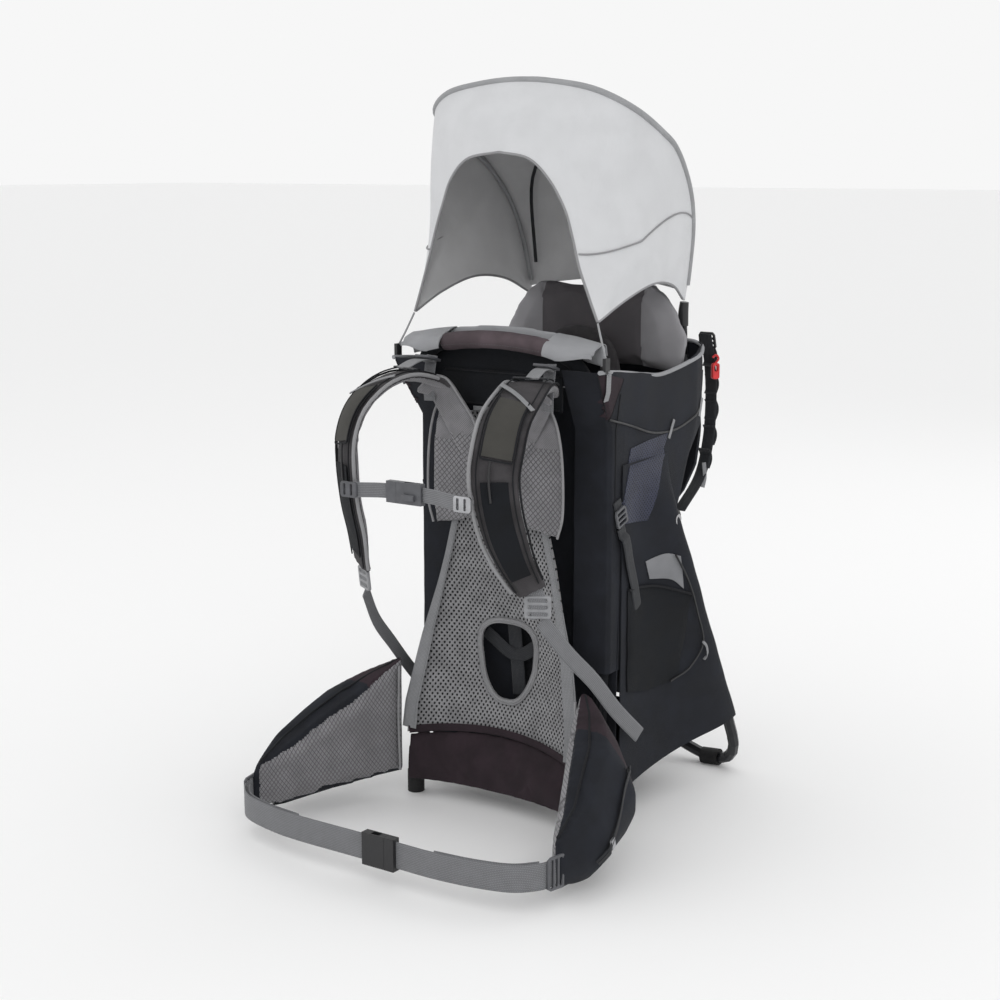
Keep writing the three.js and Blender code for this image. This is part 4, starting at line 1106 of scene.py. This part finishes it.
for side, word in SIDES:
    lower = flip([(155, -106, 344), (171, -62, 288), (181, -12, 240), (186, 42, 184),
                  (192, 100, 132)], side)
    strap = tape(f"lower_webbing_{word}", lower, (0.2 * side, 0.75, 0.6), 24, GREY_TAPE, 2.2, 60)
    bridge(strap, "grey_webbing", ("harness", "root"), (side * 158, -96, 330),
           (side * 188, 60, 170), f"lower_strap_{word}")

    lifter = flip([(103, -15, 675), (105, -28, 679), (108, -46, 678), (112, -68, 670)], side)
    strap = tape(f"load_lifter_{word}", lifter, (1, 0, 0), 22, LIGHT_TAPE, 2.2, 24)
    bridge(strap, "grey_webbing", ("root", "harness"), (side * 104, -22, 677),
           (side * 111, -64, 672), f"load_lifter_strap_{word}")

    ladder_lock(f"lifter_lock_{word}", (side * 103, -20, 681), (1, 0, 0), (0, -0.95, 0.3), 22,
                "root", tall=30)
    tail = flip([(103, -8, 684), (104, -12, 668), (104, -16, 640), (103, -15, 618)], side)
    put(tape(f"lifter_tail_{word}", tail, (1, 0, 0), 20, GREY_TAPE, 1.8), "root", "grey_webbing")

    way = (-side, 0, 0)
    band = lay(SIDE, curve(flip([(173, 72, 446), (172.5, 92, 395), (172, 112, 340),
                                 (171.5, 128, 288)], side), 40), way, 5)
    put(tape(f"side_webbing_{word}", band, (0, 0.94, 0.33), 20, DARK_TAPE, 2.2, ready=True),
        "root", "dark_webbing", f"side_strap_{word}")
    spot = lay(SIDE, [(side * 175, 71, 462)], way, 6)[0]
    ladder_lock(f"side_lock_{word}", spot, (0, 0.94, 0.33), (0, -0.33, 0.94), 20, "root",
                tall=27)
    tab = lay(SIDE, flip([(174, 64, 486), (174, 68, 474), (174, 72, 460)], side), way, 2.5)
    put(tape(f"side_tab_{word}", tab, (0, 0.94, 0.33), 20, DARK_TAPE, 2.2), "root",
        "dark_webbing")

    rear = flip([(148, 360, 700), (148, 376, 650), (148, 382, 596), (148, 376, 534),
                 (148, 350, 478), (148, 288, 434)], side)
    put(tape(f"rear_webbing_{word}", rear, (1, 0, 0), 20, DARK_TAPE, 2.4, 60), "root",
        "dark_webbing", f"rear_strap_{word}")

    # the hip belt's webbing: each side ends in its half of the buckle, right of the middle
    buckle_x = 58.4 if side > 0 else -3.6
    belt_line = flip([(266, -238.4, 52), (258, -262, 51), (230, -287, 50), (180, -302, 50),
                      (120, -309, 50), (buckle_x, -309, 50)], side)
    belt = tape(f"hip_tape_{word}", belt_line, (0, 0, 1), 38, GREY_TAPE, 2.2, 90)
    if side > 0:
        bridge(belt, "grey_webbing", ("root", "hip_male"), (180, -302, 50), (60, -309, 50),
               "hip_webbing_right")
    else:
        put(belt, "root", "grey_webbing", "hip_webbing_left")
    inner = [(x * 0.985, y + 4.5, z + 1) for x, y, z in belt_line[1:5]]
    put(tape(f"hip_tape_tail_{word}", inner, (0, 0, 1), 36, GREY_TAPE, 1.8, 60), "root",
        "grey_webbing")
    ladder_lock(f"hip_lock_{word}", (side * 268, -241, 52), (0, 0, 1), (-0.2 * side, -0.98, 0),
                38, "root", tall=30)

STERNUM_Y, STERNUM_Z = -186, 516
for side, word in SIDES:
    ends = [(side * x, STERNUM_Y - back, STERNUM_Z) for x, back in zip(
        (14.4, 40, 64, 88) if side > 0 else (46.4, 60, 76, 88), (0, 4, 13, 20))]
    strip = tape(f"sternum_tape_{word}", ends, (0, 0, 1), 21, GREY_TAPE, 2.2, 40)
    if side < 0:
        bridge(strip, "grey_webbing", ("sternum", "sternum_male"), (-86, -205, STERNUM_Z),
               (-48, STERNUM_Y, STERNUM_Z), "sternum_webbing_left")
    else:
        put(strip, "sternum", "grey_webbing", "sternum_webbing_right")
    slide = plate(f"sternum_slider_{word}", rounded(28, 22, 4), [rounded(4, 16, 1.4, -7),
                  rounded(4, 16, 1.4, 5)], 4.4, placed((side * 97, -209, STERNUM_Z), (1, 0, 0),
                                                       (0, 0, 1)), SILVER if side > 0 else BUCKLE)
    put(slide, "sternum", "buckle_plastic")
whistle = sweep("sternum_whistle", curve([(-16, -193, 512), (-8, -194, 511), (4, -193, 511)], 12),
                (0, 0, 1), tape_profile(9, 6), BUCKLE, 50)
put(whistle, "sternum", "buckle_plastic")

# ---------------------------------------------------------------- sunshade

# the right half of the hoop, of the front opening's edge and of the lower hem
HOOP = [(140, 307, 755), (146, 306, 792), (158, 295, 865), (168, 265, 923), (178, 209, 977),
        (182, 155, 1004), (172, 95, 1034), (129, 66, 1059), (70, 61, 1071), (0, 58, 1076)]
ARCH = [(160, 24, 742), (146, 22, 778), (131, 20, 819), (119, 21, 861), (106, 21, 898),
        (84, 14, 938), (52, 11, 966), (0, 14, 975)]
HEM = [(140, 303, 755), (152, 247, 781), (160, 177, 787), (162, 97, 769), (160, 24, 742)]
HEM_SHARE = 0.42                # share of the hoop's half length that faces the hem
CLOTH_T = 1.6


def both(half):
    return list(half) + [(-x, y, z) for x, y, z in reversed(half[:-1])]


hoop_line = curve(both(HOOP), 401)
hem_line, arch_line = curve(HEM, 101), curve(ARCH, 101)


def along(line, t):
    k = min(max(t, 0), 1) * (len(line) - 1)
    i = min(int(k), len(line) - 2)
    return line[i] + (line[i + 1] - line[i]) * (k - i)


def cloth_edge(u):
    """The lower or front edge of the cloth at u along the hoop, 0 and 1 at its hinges."""
    s = (1 - u if u > 0.5 else u) * 2
    p = (along(hem_line, s / HEM_SHARE) if s < HEM_SHARE else
         along(arch_line, (s - HEM_SHARE) / (1 - HEM_SHARE)))
    return p * (1 if u <= 0.5 else -1, 1, 1)


def inwards(p, distance):
    way = HOOD_MIDDLE - p
    return p + way / np.linalg.norm(way) * distance


def cloth_point(u, v, off=0.0):
    """The front and side cloth: v runs from its free edge to the hoop."""
    p = cloth_edge(u) * (1 - v) + along(hoop_line, u) * v
    swell = 10 * sin(pi * v) * sin(pi * u)
    tuck = 1.6 * sin(pi * v) * noise.noise(Vector((u * 16, v * 3, 2)))
    return inwards(p, -swell - off - tuck)


def roof_point(s, t, off=0.0):
    """The roof and back of the shade, domed between the hoop's two sides."""
    p = along(hoop_line, t / 2)
    dome = 1 - s * s
    back = table([[0, 26], [0.3, 50], [0.55, 62], [0.8, 40], [1, 0]], t)
    up = table([[0, 14], [0.3, 14], [0.55, 24], [0.8, 14], [1, 0]], t)
    tuck = 2.0 * dome * noise.noise(Vector((s * 4, t * 7, 5)))
    return inwards(p * (s, 1, 1) + np.array((0, back, up)) * dome, -off - tuck)


front_grid = [[cloth_point(u, v) for v in np.linspace(0, 1, 17)] for u in np.linspace(0, 1, 121)]
roof_grid = [[roof_point(s, 0.02 + 0.965 * t) for t in np.linspace(0, 1, 41)]
             for s in np.linspace(-1, 1, 49)]


def hood_shell(name, grid):
    """A cloth shell whose painted outside is the face that turns away from the hood."""
    g = np.array(grid)
    mid = g[len(g) // 2, g.shape[1] // 2]
    normal = np.cross(g[len(g) // 2 + 1, g.shape[1] // 2] - mid,
                      g[len(g) // 2, g.shape[1] // 2 + 1] - mid)
    if np.dot(normal, mid - HOOD_MIDDLE) < 0:
        g = g[::-1]
    return shell(name, g, CLOTH_T, SHADE, SHADE_INNER)


shade_cloth = hood_shell("shade_cloth", front_grid)
roof = hood_shell("shade_roof", roof_grid)
edit_mesh(shade_cloth.data, lambda work: work.from_mesh(roof.data))
bpy.data.objects.remove(roof)
shade_cloth.data.shade_smooth()
shade_cloth.data.set_sharp_from_angle(angle=radians(60))
put(shade_cloth, "sunshade", "shade_fabric", "canopy")

hoop_ring = [inwards(p, 1) for p in hoop_line[8:-8:3]]
binding = put(cord_piece("shade_hoop_binding", hoop_ring, 4.6, SHADE_TRIM, ready=True, sides=12),
              "sunshade", "shade_trim")
edge_ring = [inwards(cloth_edge(u), 0.8) for u in np.linspace(0.004, 0.996, 240)]
hem = put(cord_piece("shade_edge_binding", edge_ring, 1.9, PIPING, ready=True), "sunshade",
          "shade_trim")
for side, word in SIDES:
    line = [cloth_point(u, v, 1.2) * (side, 1, 1) for u, v in
            zip(np.linspace(0.115, 0.30, 50), np.linspace(0.96, 0.02, 50))]
    put(cord_piece(f"shade_seam_{word}", line, 1.2, PIPING, ready=True), "sunshade",
                     "shade_trim")
    line = [roof_point(side * 0.34, t, 0.6) for t in np.linspace(0.04, 0.97, 60)]
    put(cord_piece(f"shade_roof_seam_{word}", line, 1.1, SHADE_TRIM, ready=True),
                     "sunshade", "shade_trim")

for side, word in SIDES:
    top, bottom = np.array((side * 160, 24, 741)), np.array((side * 181.6, 12.2, 692))
    sag = [top * (1 - t) + bottom * t + (0, 0, -1.2 * sin(pi * t))
           for t in np.linspace(0, 1, 15)]
    tie = put(cord_piece(f"shade_tie_{word}", sag, 1.5, SHADE_TRIM, ready=True, sides=8),
              "sunshade", "shade_fabric", f"tie_cord_{word}")

# ---------------------------------------------------------------- cloth that hides the frame

FRAME_ARCH = [(0, 5, 711), (50, 6, 708.6), (96, 9, 702), (132, 18, 679), (146, 42, 633),
              (148, 62, 580), (148, 62, 220), (154, 40, 110), (157, 14, 42)]


for side, word in SIDES:
    arch = curve(flip(FRAME_ARCH, side), 160)
    line = [p for p in arch if abs(p[0]) > 92 and p[2] > 118]
    sleeve = sweep(f"frame_sleeve_{word}", line, (side, 0, 0.01), oval(11, 11), DARK)
    put(crumple(sleeve, 0.8, 24, 31), "root", "body_fabric")

arch_panel = [[(x, 26 + 2 * cos(x / 30), 650 + 52 * t) for x in np.linspace(-136, 136, 40)]
              for t in np.linspace(0, 1, 10)]
put(crumple(shell("arch_panel", arch_panel, 1.6, DARK), 1.2, 30, 4), "root", "body_fabric")

# the grey band drapes over the frame's arch on both sides of the grip
drape = []
for x in np.linspace(90, 166, 26):
    tube_z = table([[90, 703], [110, 698], [132, 679], [140, 668], [166, 664]], x)
    band_z = table([[60, 711], [120, 703], [169, 695]], x)
    end = smooth((x - 110) / 56)
    hem_z = max(tube_z - 8, band_z - 15) + 13 * end
    front = -11 + 9 * end
    drape.append([(x, front, hem_z), (x, front, hem_z + 6), (x, front + 6, band_z + 4),
                  (x, 8, band_z + 10), (x, 22, band_z + 15), (x, 31, band_z + 17),
                  (x, 39, band_z + 14), (x, 41, band_z)])
for side, word in SIDES:
    rows = [[(side * x, y, z) for x, y, z in curve(row, 22)[::side]] for row in drape]
    put(crumple(shell(f"rim_drape_{word}", rows, 1.6, RIM), 0.8, 30, 6), "root", "rim_fabric")

luggage_front = [[(s * (168 if z < 430 else 160), 79 + 5 * cos(s * 2.7)
                   + 2.5 * sin(z / 37), z) for s in np.linspace(-1, 1, 40)]
                 for z in np.linspace(48, 640, 60)]
put(crumple(shell("luggage_front", luggage_front, 1.6, BODY), 2, 60, 8), "root", "body_fabric")
centre_band = [(10, 76 + 2.5 * sin(z / 37), z) for z in np.linspace(120, 330, 30)]
put(tape("luggage_band", centre_band, (1, 0, 0), 44, DARK, 2.4, ready=True), "root",
    "body_fabric")

# the rear pocket fills out the slanting rear wall under the straps
pocket_grid = []
for z in np.linspace(436, 646, 30):
    row = []
    for s in np.linspace(-1, 1, 41):
        deep = table([[436, 240], [462, 300], [500, 338], [560, 352], [646, 350]], z)
        wall = table([[436, 235], [570, 352], [646, 356]], z)
        row.append((s * 152, max(deep, wall) + (6 - 14 * abs(s) ** 5), z))
    pocket_grid.append(row)
pocket = shell("rear_pocket", pocket_grid, 3.0, BODY)
put(crumple(pocket, 2.5, 60, 12), "root", "body_fabric")

# ---------------------------------------------------------------- trim on the body


def rim_height(y):
    return table([[-4, 676], [60, 671], [120, 662], [170, 656], [214, 655], [260, 659],
                  [310, 673], [340, 684], [358, 690]], y)


rim_half = [(180, -2), (176, 40), (172, 90), (168, 140), (166.5, 200), (166.5, 300), (160, 328),
            (146, 345), (120, 355), (60, 356.5), (0, 356.5)]
rim_loop = [(x, y, rim_height(y)) for x, y in rim_half]
rim_loop += [(-x, y, z) for x, y, z in rim_loop[-2::-1]]
put(cord_piece("rim_binding", rim_loop, 3.2, RIM, 240), "root", "rim_fabric")

for side, word in SIDES:
    way = (-side, 0, 0)
    wall = upright(side * 168, (41, 605), (100, 590), (164, 572), (227, 568), (280, 578),
                   (325, 594))
    seam(f"side_elastic_{word}", SIDE, wall, way, 1.7, DARK_PLASTIC, "root", "dark_webbing", 70,
         1.0)
    for k, (y, z) in enumerate(((218, 571), (319, 592))):
        loop = curve([(side * 170, y - 8, z - 13), (side * 173, y - 2, z - 3),
                      (side * 174, y + 1, z + 3), (side * 171, y + 7, z + 13)], 20)
        put(tape(f"side_loop_{word}_{k}", lay(SIDE, loop, way, 3.0), (0, 0.9, -0.4), 6,
                 LIGHT_TAPE, 1.6), "root", "light_piping")
    edges = (upright(side * 168, (104, 556), (156, 562), (212, 566)),
             upright(side * 168, (66, 452), (100, 448), (140, 446)))
    patch(f"side_net_{word}", SIDE, edges, way, SIDE_NET, "root", "side_mesh", 1.2)
    edges = (upright(side * 175, (-2, 672), (30, 669), (66, 661)),
             upright(side * 172, (30, 609), (35, 606), (40, 605)))
    patch(f"corner_patch_{word}", SIDE, edges, way, PLUM, "root", "plum_fabric", 1.3)
    line = upright(side * 175, (-2, 672), (14, 642), (30, 609))
    seam(f"corner_seam_{word}", SIDE, line, way, 1.0, DARK_PIPING, "root", "dark_webbing", 24, 1)
    line = upright(side * 175, (66, 661), (52, 634), (40, 605))
    seam(f"corner_seam_rear_{word}", SIDE, line, way, 1.0, DARK_PIPING, "root", "dark_webbing",
         24, 1)
    tail = lay(SIDE, curve([(side * 180, 14, 688), (side * 180, 18, 660), (side * 178, 22, 634)],
                           20), way, 4)
    put(tape(f"hook_tail_{word}", tail, (0, 1, 0), 11, LIGHT_TAPE, 2, ready=True), "root",
        "grey_webbing")
    line = [(side * 168, 62, z) for z in (640, 540, 440)]
    seam(f"bolster_seam_{word}", SIDE, line, way, 1.1, DARK_PIPING, "root", "dark_webbing", 60,
         0.3)

    # the stretch pouch and the panel over it, with their elastic cord
    edges = (upright(side * 168, (92, 350), (160, 344), (226, 322)),
             upright(side * 176, (94, 196), (150, 186), (214, 192)))
    on_sail(patch(f"stretch_pouch_{word}", SIDE, edges, way, DARK, "root", "body_fabric", 2.5,
                  1.4, (24, 24), 9), side, "body_fabric")
    line = upright(side * 168, (92, 350), (160, 344), (226, 322))
    on_sail(seam(f"pouch_hem_{word}", SIDE, line, way, 2.0, DARK_PIPING, "root", "dark_webbing",
                 40, 4), side, "dark_webbing")
    edges = (upright(side * 168, (140, 384), (176, 391), (202, 384)),
             upright(side * 168, (150, 356), (188, 350), (212, 332)))
    on_sail(patch(f"pouch_lining_{word}", SIDE, edges, way, LINING, "root", "lining_fabric",
                  1.8, 1.0, (12, 8)), side, "lining_fabric")
    line = upright(side * 168, (190, 388), (220, 336), (240, 286), (252, 240), (232, 206),
                   (196, 190))
    on_sail(seam(f"pouch_elastic_{word}", SIDE, line, way, 1.6, DARK_PLASTIC, "root",
                 "dark_webbing", 60, 5), side, "dark_webbing")
    loop = curve([(side * 176, 250, 244), (side * 177, 258, 236), (side * 177, 262, 222),
                  (side * 176, 256, 214)], 16)
    on_sail(tape(f"pouch_loop_{word}", lay(SIDE, loop, way, 6), (0, 0.6, 0.6), 5, LIGHT_TAPE,
                 1.6, ready=True), side, "light_piping")

    # rear straps' loops, the strap's top buckle and the red clip
    for k, z in enumerate((664, 620, 580, 540, 505)):
        y = table([[478, 352], [534, 378], [596, 384], [650, 378], [700, 362]], z)
        knot = [(side * 148, y - 2, z - 15), (side * 148, y + 5, z - 5), (side * 148, y + 5, z + 5),
                (side * 148, y - 2, z + 15)]
        put(tape(f"rear_loop_{word}_{k}", knot, (1, 0, 0), 22, DARK_TAPE, 2.4, 16), "root",
            "dark_webbing")
    put(tape(f"rear_tab_{word}", [(side * 154, 352, 500), (side * 156, 352, 478),
                                  (side * 156, 346, 462)], (0.6, 0.8, 0), 7, LIGHT_TAPE, 2),
        "root", "light_piping")
    ladder_lock(f"rear_lock_{word}", (side * 148, 366, 690), (1, 0, 0), (0, -0.25, 0.97), 20,
                "root", tall=26, material=DARK_PLASTIC)

clip = plate("rear_clip", rounded(13, 25, 4), [rounded(6, 9, 2.4, 0, 4)], 7,
             placed((164, 364, 643), (0.5, 0.87, 0), (0, 0, 1)), RED, 1.6)
put(clip, "root", "red_plastic")
hook = cord_piece("rear_clip_hook", [(164, 364, 655), (168, 366, 662), (165, 364, 668),
                                     (160, 362, 664)], 1.8, RED, 20)
put(hook, "root", "red_plastic")
tag = [(x, net_y(x, 604) - 4, 608) for x in (-46, -30, -13)]
put(tape("net_tag", tag, (0, 0, 1), 7, LIGHT_TAPE, 1.2, 12), "root", "light_piping")
for k, z in enumerate((662, 615)):
    line = [(x, 19.5, z) for x in np.linspace(-100, 100, 30)]
    put(cord_piece(f"panel_piping_{k}", line, 1.3, DARK_PIPING, ready=True), "root",
        "dark_webbing")
grip_line = [(x, 9 - 15.2 - 0.6, 705 - (x / 96) ** 2 * 7) for x in np.linspace(-92, 92, 40)]
stitches("grip_stitches", grip_line, (0, 0, 1), "root", 40, slot="grip_fabric")

# ---------------------------------------------------------------- trim on the harness


def on_both(made, body, slot, *nodes):
    """A right-hand piece and its mirror image, each standing for its own side's CAD nodes."""
    other = mirror_piece(made, made.name.removesuffix("_right") + "_left")
    put(made, body, slot, *[n + "_right" for n in nodes])
    put(other, body, slot, *[n + "_left" for n in nodes])


def strap_patch(name, t0, t1, a0, a1, material, out, crown):
    """A crowned piece of cloth on the outer face of each shoulder strap."""
    rows = [[on_strap(t, a, out + crown * sin(pi * (t - t0) / (t1 - t0)) * sin(
        pi * (a - a0) / (a1 - a0))) for a in np.linspace(a0, a1, 13)]
            for t in np.linspace(t0, t1, 28)]
    on_both(shell(name + "_right", rows, 1.2, material), "harness", "harness_fabric")


def strap_line_at(across, out, t0, t1, count=80):
    return [on_strap(t, across, out) for t in np.linspace(t0, t1, count)]


for name, across, out, radius, look in (("strap_piping_inner", -1.0, 4, 2.8, PIPING),
                                        ("strap_piping_outer", 0.97, 3, 1.5, DARK_PIPING),
                                        ("strap_rib_inner", -0.72, 8.2, 1.1, DARK_PIPING),
                                        ("strap_rib_outer", 0.72, 8.2, 1.1, DARK_PIPING)):
    made = cord_piece(name + "_right", strap_line_at(across, out, 0.10, 0.97), radius, look,
                      ready=True)
    on_both(made, "harness", "light_piping")
strap_patch("strap_pocket", 0.34, 0.53, -0.6, 0.62, POCKET, 10.2, 2.5)
strap_patch("strap_panel", 0.60, 0.93, -0.55, 0.55, DARK, 10.0, 1.0)
frame_line = ([on_strap(t, -0.62, 9.8) for t in np.linspace(0.335, 0.535, 24)]
              + [on_strap(0.538, a, 10.2) for a in np.linspace(-0.5, 0.5, 12)]
              + [on_strap(t, 0.64, 9.8) for t in np.linspace(0.535, 0.335, 24)])
on_both(cord_piece("strap_pocket_border_right", frame_line, 1.3, DARK_PIPING, 90), "harness",
        "dark_webbing")
diagonal = [on_strap(0.27 + 0.09 * (a + 0.9) / 1.8, a, 10.0) for a in np.linspace(-0.9, 0.9, 20)]
on_both(tape("strap_diagonal_right", diagonal, strap_way[36], 7, LIGHT_TAPE, 1.8, ready=True),
        "harness", "grey_webbing")
crest = [on_strap(0.185, a, 10.2) for a in np.linspace(-0.75, 0.75, 14)]
on_both(tape("strap_crest_right", crest, strap_way[22], 9, DARK_TAPE, 2.4, ready=True), "harness",
        "dark_webbing")
rail = [on_strap(t, -0.2, 11.6) for t in np.linspace(0.54, 0.66, 24)]
on_both(cord_piece("sternum_rail_right", rail, 1.8, DARK_PLASTIC, ready=True), "harness",
        "buckle_plastic")

arm = curve([(99, -32, 646), (88, -12, 638), (70, -7, 612), (44, -5, 572), (20, -4, 528),
             (10, -4, 496)], 60)
ARM_ACROSS = np.array((0.8, 0.12, -0.6))


def arm_share(t):
    """The arm's width at t along it, as a share of its widest."""
    return table([[0, 0.8], [0.5, 1], [1, 0.72]], t)


arm_piece = sweep("yoke_arm_right", arm, ARM_ACROSS, tape_profile(56, 9), FOAM_FINE, 60, arm_share)
paint_faces(arm_piece, FOAM, lambda x, y, z, n: z < 572)
on_both(arm_piece, "harness", "back_mesh")
edge_line = [p + ARM_ACROSS * -27 * arm_share(k / (len(arm) - 1)) - (0, 4, 0)
             for k, p in enumerate(arm)]
on_both(cord_piece("yoke_arm_piping_right", edge_line[4:50], 1.6, PIPING, ready=True), "harness",
        "light_piping")

strap_tip = strap_line[-1]
lock = plate("strap_lock_right", rounded(37, 33, 4),
             [rounded(27, 5.2, 2, 0, y) for y in (-10, 0, 10)], 5,
             placed(tuple(strap_tip + (4, 6, -22)), tuple(STRAP_TURN), (4 / 32, 6 / 32, -31 / 32)),
             LOCK, 1.4)
on_both(lock, "harness", "buckle_plastic", "strap_buckle")
through = [strap_tip + (1, 1, 2), strap_tip + (4, 5, -16), strap_tip + (7, 9, -38)]
on_both(tape("strap_lock_tape_0_right", through, STRAP_TURN, 25, GREY_TAPE, 2.0, 20), "harness",
        "grey_webbing")

for side, word in SIDES:
    rim_ring = [(side * x, 1.2, z) for x, z in ((110, 434), (119, 470), (118, 540), (110, 590),
                                                (96, 620), (84, 628), (72, 616), (58, 590),
                                                (44, 556), (24, 538))]
    put(cord_piece(f"yoke_piping_{word}", rim_ring, 1.8, PIPING, 90), "harness", "light_piping")

# ---------------------------------------------------------------- trim on the hip wings


def wing_line(points, out=1.5, w=1.0, count=50):
    return [wing_point(u, v, w, out) for u, v, _ in curve([(u, v, 0) for u, v in points], count)]


zip_path = wing_line(((0.40, 0.80), (0.55, 0.74), (0.68, 0.62), (0.78, 0.50), (0.84, 0.34)), 3.4)
zip_tape = tape("hip_zip_right", zip_path, (0, 0.3, 1), 9, DARK_TAPE, 1.6, ready=True)
on_both(zip_tape, "root", "dark_webbing")
on_both(cord_piece("hip_zip_coil_right", [p + (0.8, -0.4, 0) for p in zip_path], 1.3, DARK_PLASTIC,
                   ready=True), "root", "zip_metal")
for k, v in enumerate((0.985, 0.015)):
    path = [wing_point(u, v, 0.5, 1.0) for u in np.linspace(0.03, 0.97, 60)]
    on_both(cord_piece(f"hip_piping_{k}_right", path, 1.7, DARK_PIPING, ready=True), "root",
            "dark_webbing")
inner_line = wing_line(((0.05, 0.04), (0.06, 0.5), (0.05, 0.95)), -2.6, 0.0)
on_both(cord_piece("hip_inner_piping_right", inner_line, 1.8, PIPING, ready=True), "root",
        "light_piping")

# ---------------------------------------------------------------- stage, light and camera

FLOOR_HALF, FLOOR_CELLS = 60, 24         # metres, and strips from front to back
floor_mesh = bpy.data.meshes.new("floor")
floor_points = [(x, -FLOOR_HALF + 2 * FLOOR_HALF * i / FLOOR_CELLS, 0)
                for i in range(FLOOR_CELLS + 1) for x in (-FLOOR_HALF, FLOOR_HALF)]
floor_mesh.from_pydata(floor_points, [], [(2 * i, 2 * i + 1, 2 * i + 3, 2 * i + 2)
                                          for i in range(FLOOR_CELLS)])
floor = add_object("floor", floor_mesh)
floor_look = Look("floor_paper", (0.93, 0.93, 0.93, 1), 0.7, specular=0.2)
floor_look.roughness(floor_look.noise(3, 2), 0.66, 0.76)
floor_mesh.materials.append(floor_look.material)

world = bpy.data.worlds.new("studio")
world.use_nodes = True
background = world.node_tree.nodes["Background"].inputs
background["Color"].default_value = (1, 1, 1, 1)
background["Strength"].default_value = 0.93
bpy.context.scene.world = world
bpy.context.scene.view_settings.view_transform = "Standard"

AIM = Vector((0, 0, 0.5))
CAMERA_PLACE = (1451, -2063, 960)
CAMERA_WAY = Vector((-0.5620, 0.8056, -0.1874))
CAMERA_LENS, CAMERA_SENSOR = 63.7, 36
for name, place, size, power in (("key", (2.4, -2.6, 3.0), 2.2, 22),
                                 ("fill", (-3.0, -1.6, 2.0), 2.6, 6),
                                 ("back", (0.6, 3.0, 2.6), 2.2, 10)):
    light = bpy.data.lights.new(name, "AREA")
    light.energy, light.size = power, size
    lamp = add_object(name, light)
    lamp.location = place
    lamp.rotation_euler = (AIM - Vector(place)).to_track_quat("-Z", "Y").to_euler()

camera_data = bpy.data.cameras.new("camera")
camera_data.lens, camera_data.sensor_width = CAMERA_LENS, CAMERA_SENSOR
camera = add_object("camera", camera_data)
camera.location = at(*CAMERA_PLACE)
camera.rotation_euler = CAMERA_WAY.to_track_quat("-Z", "Y").to_euler()
bpy.context.scene.camera = camera
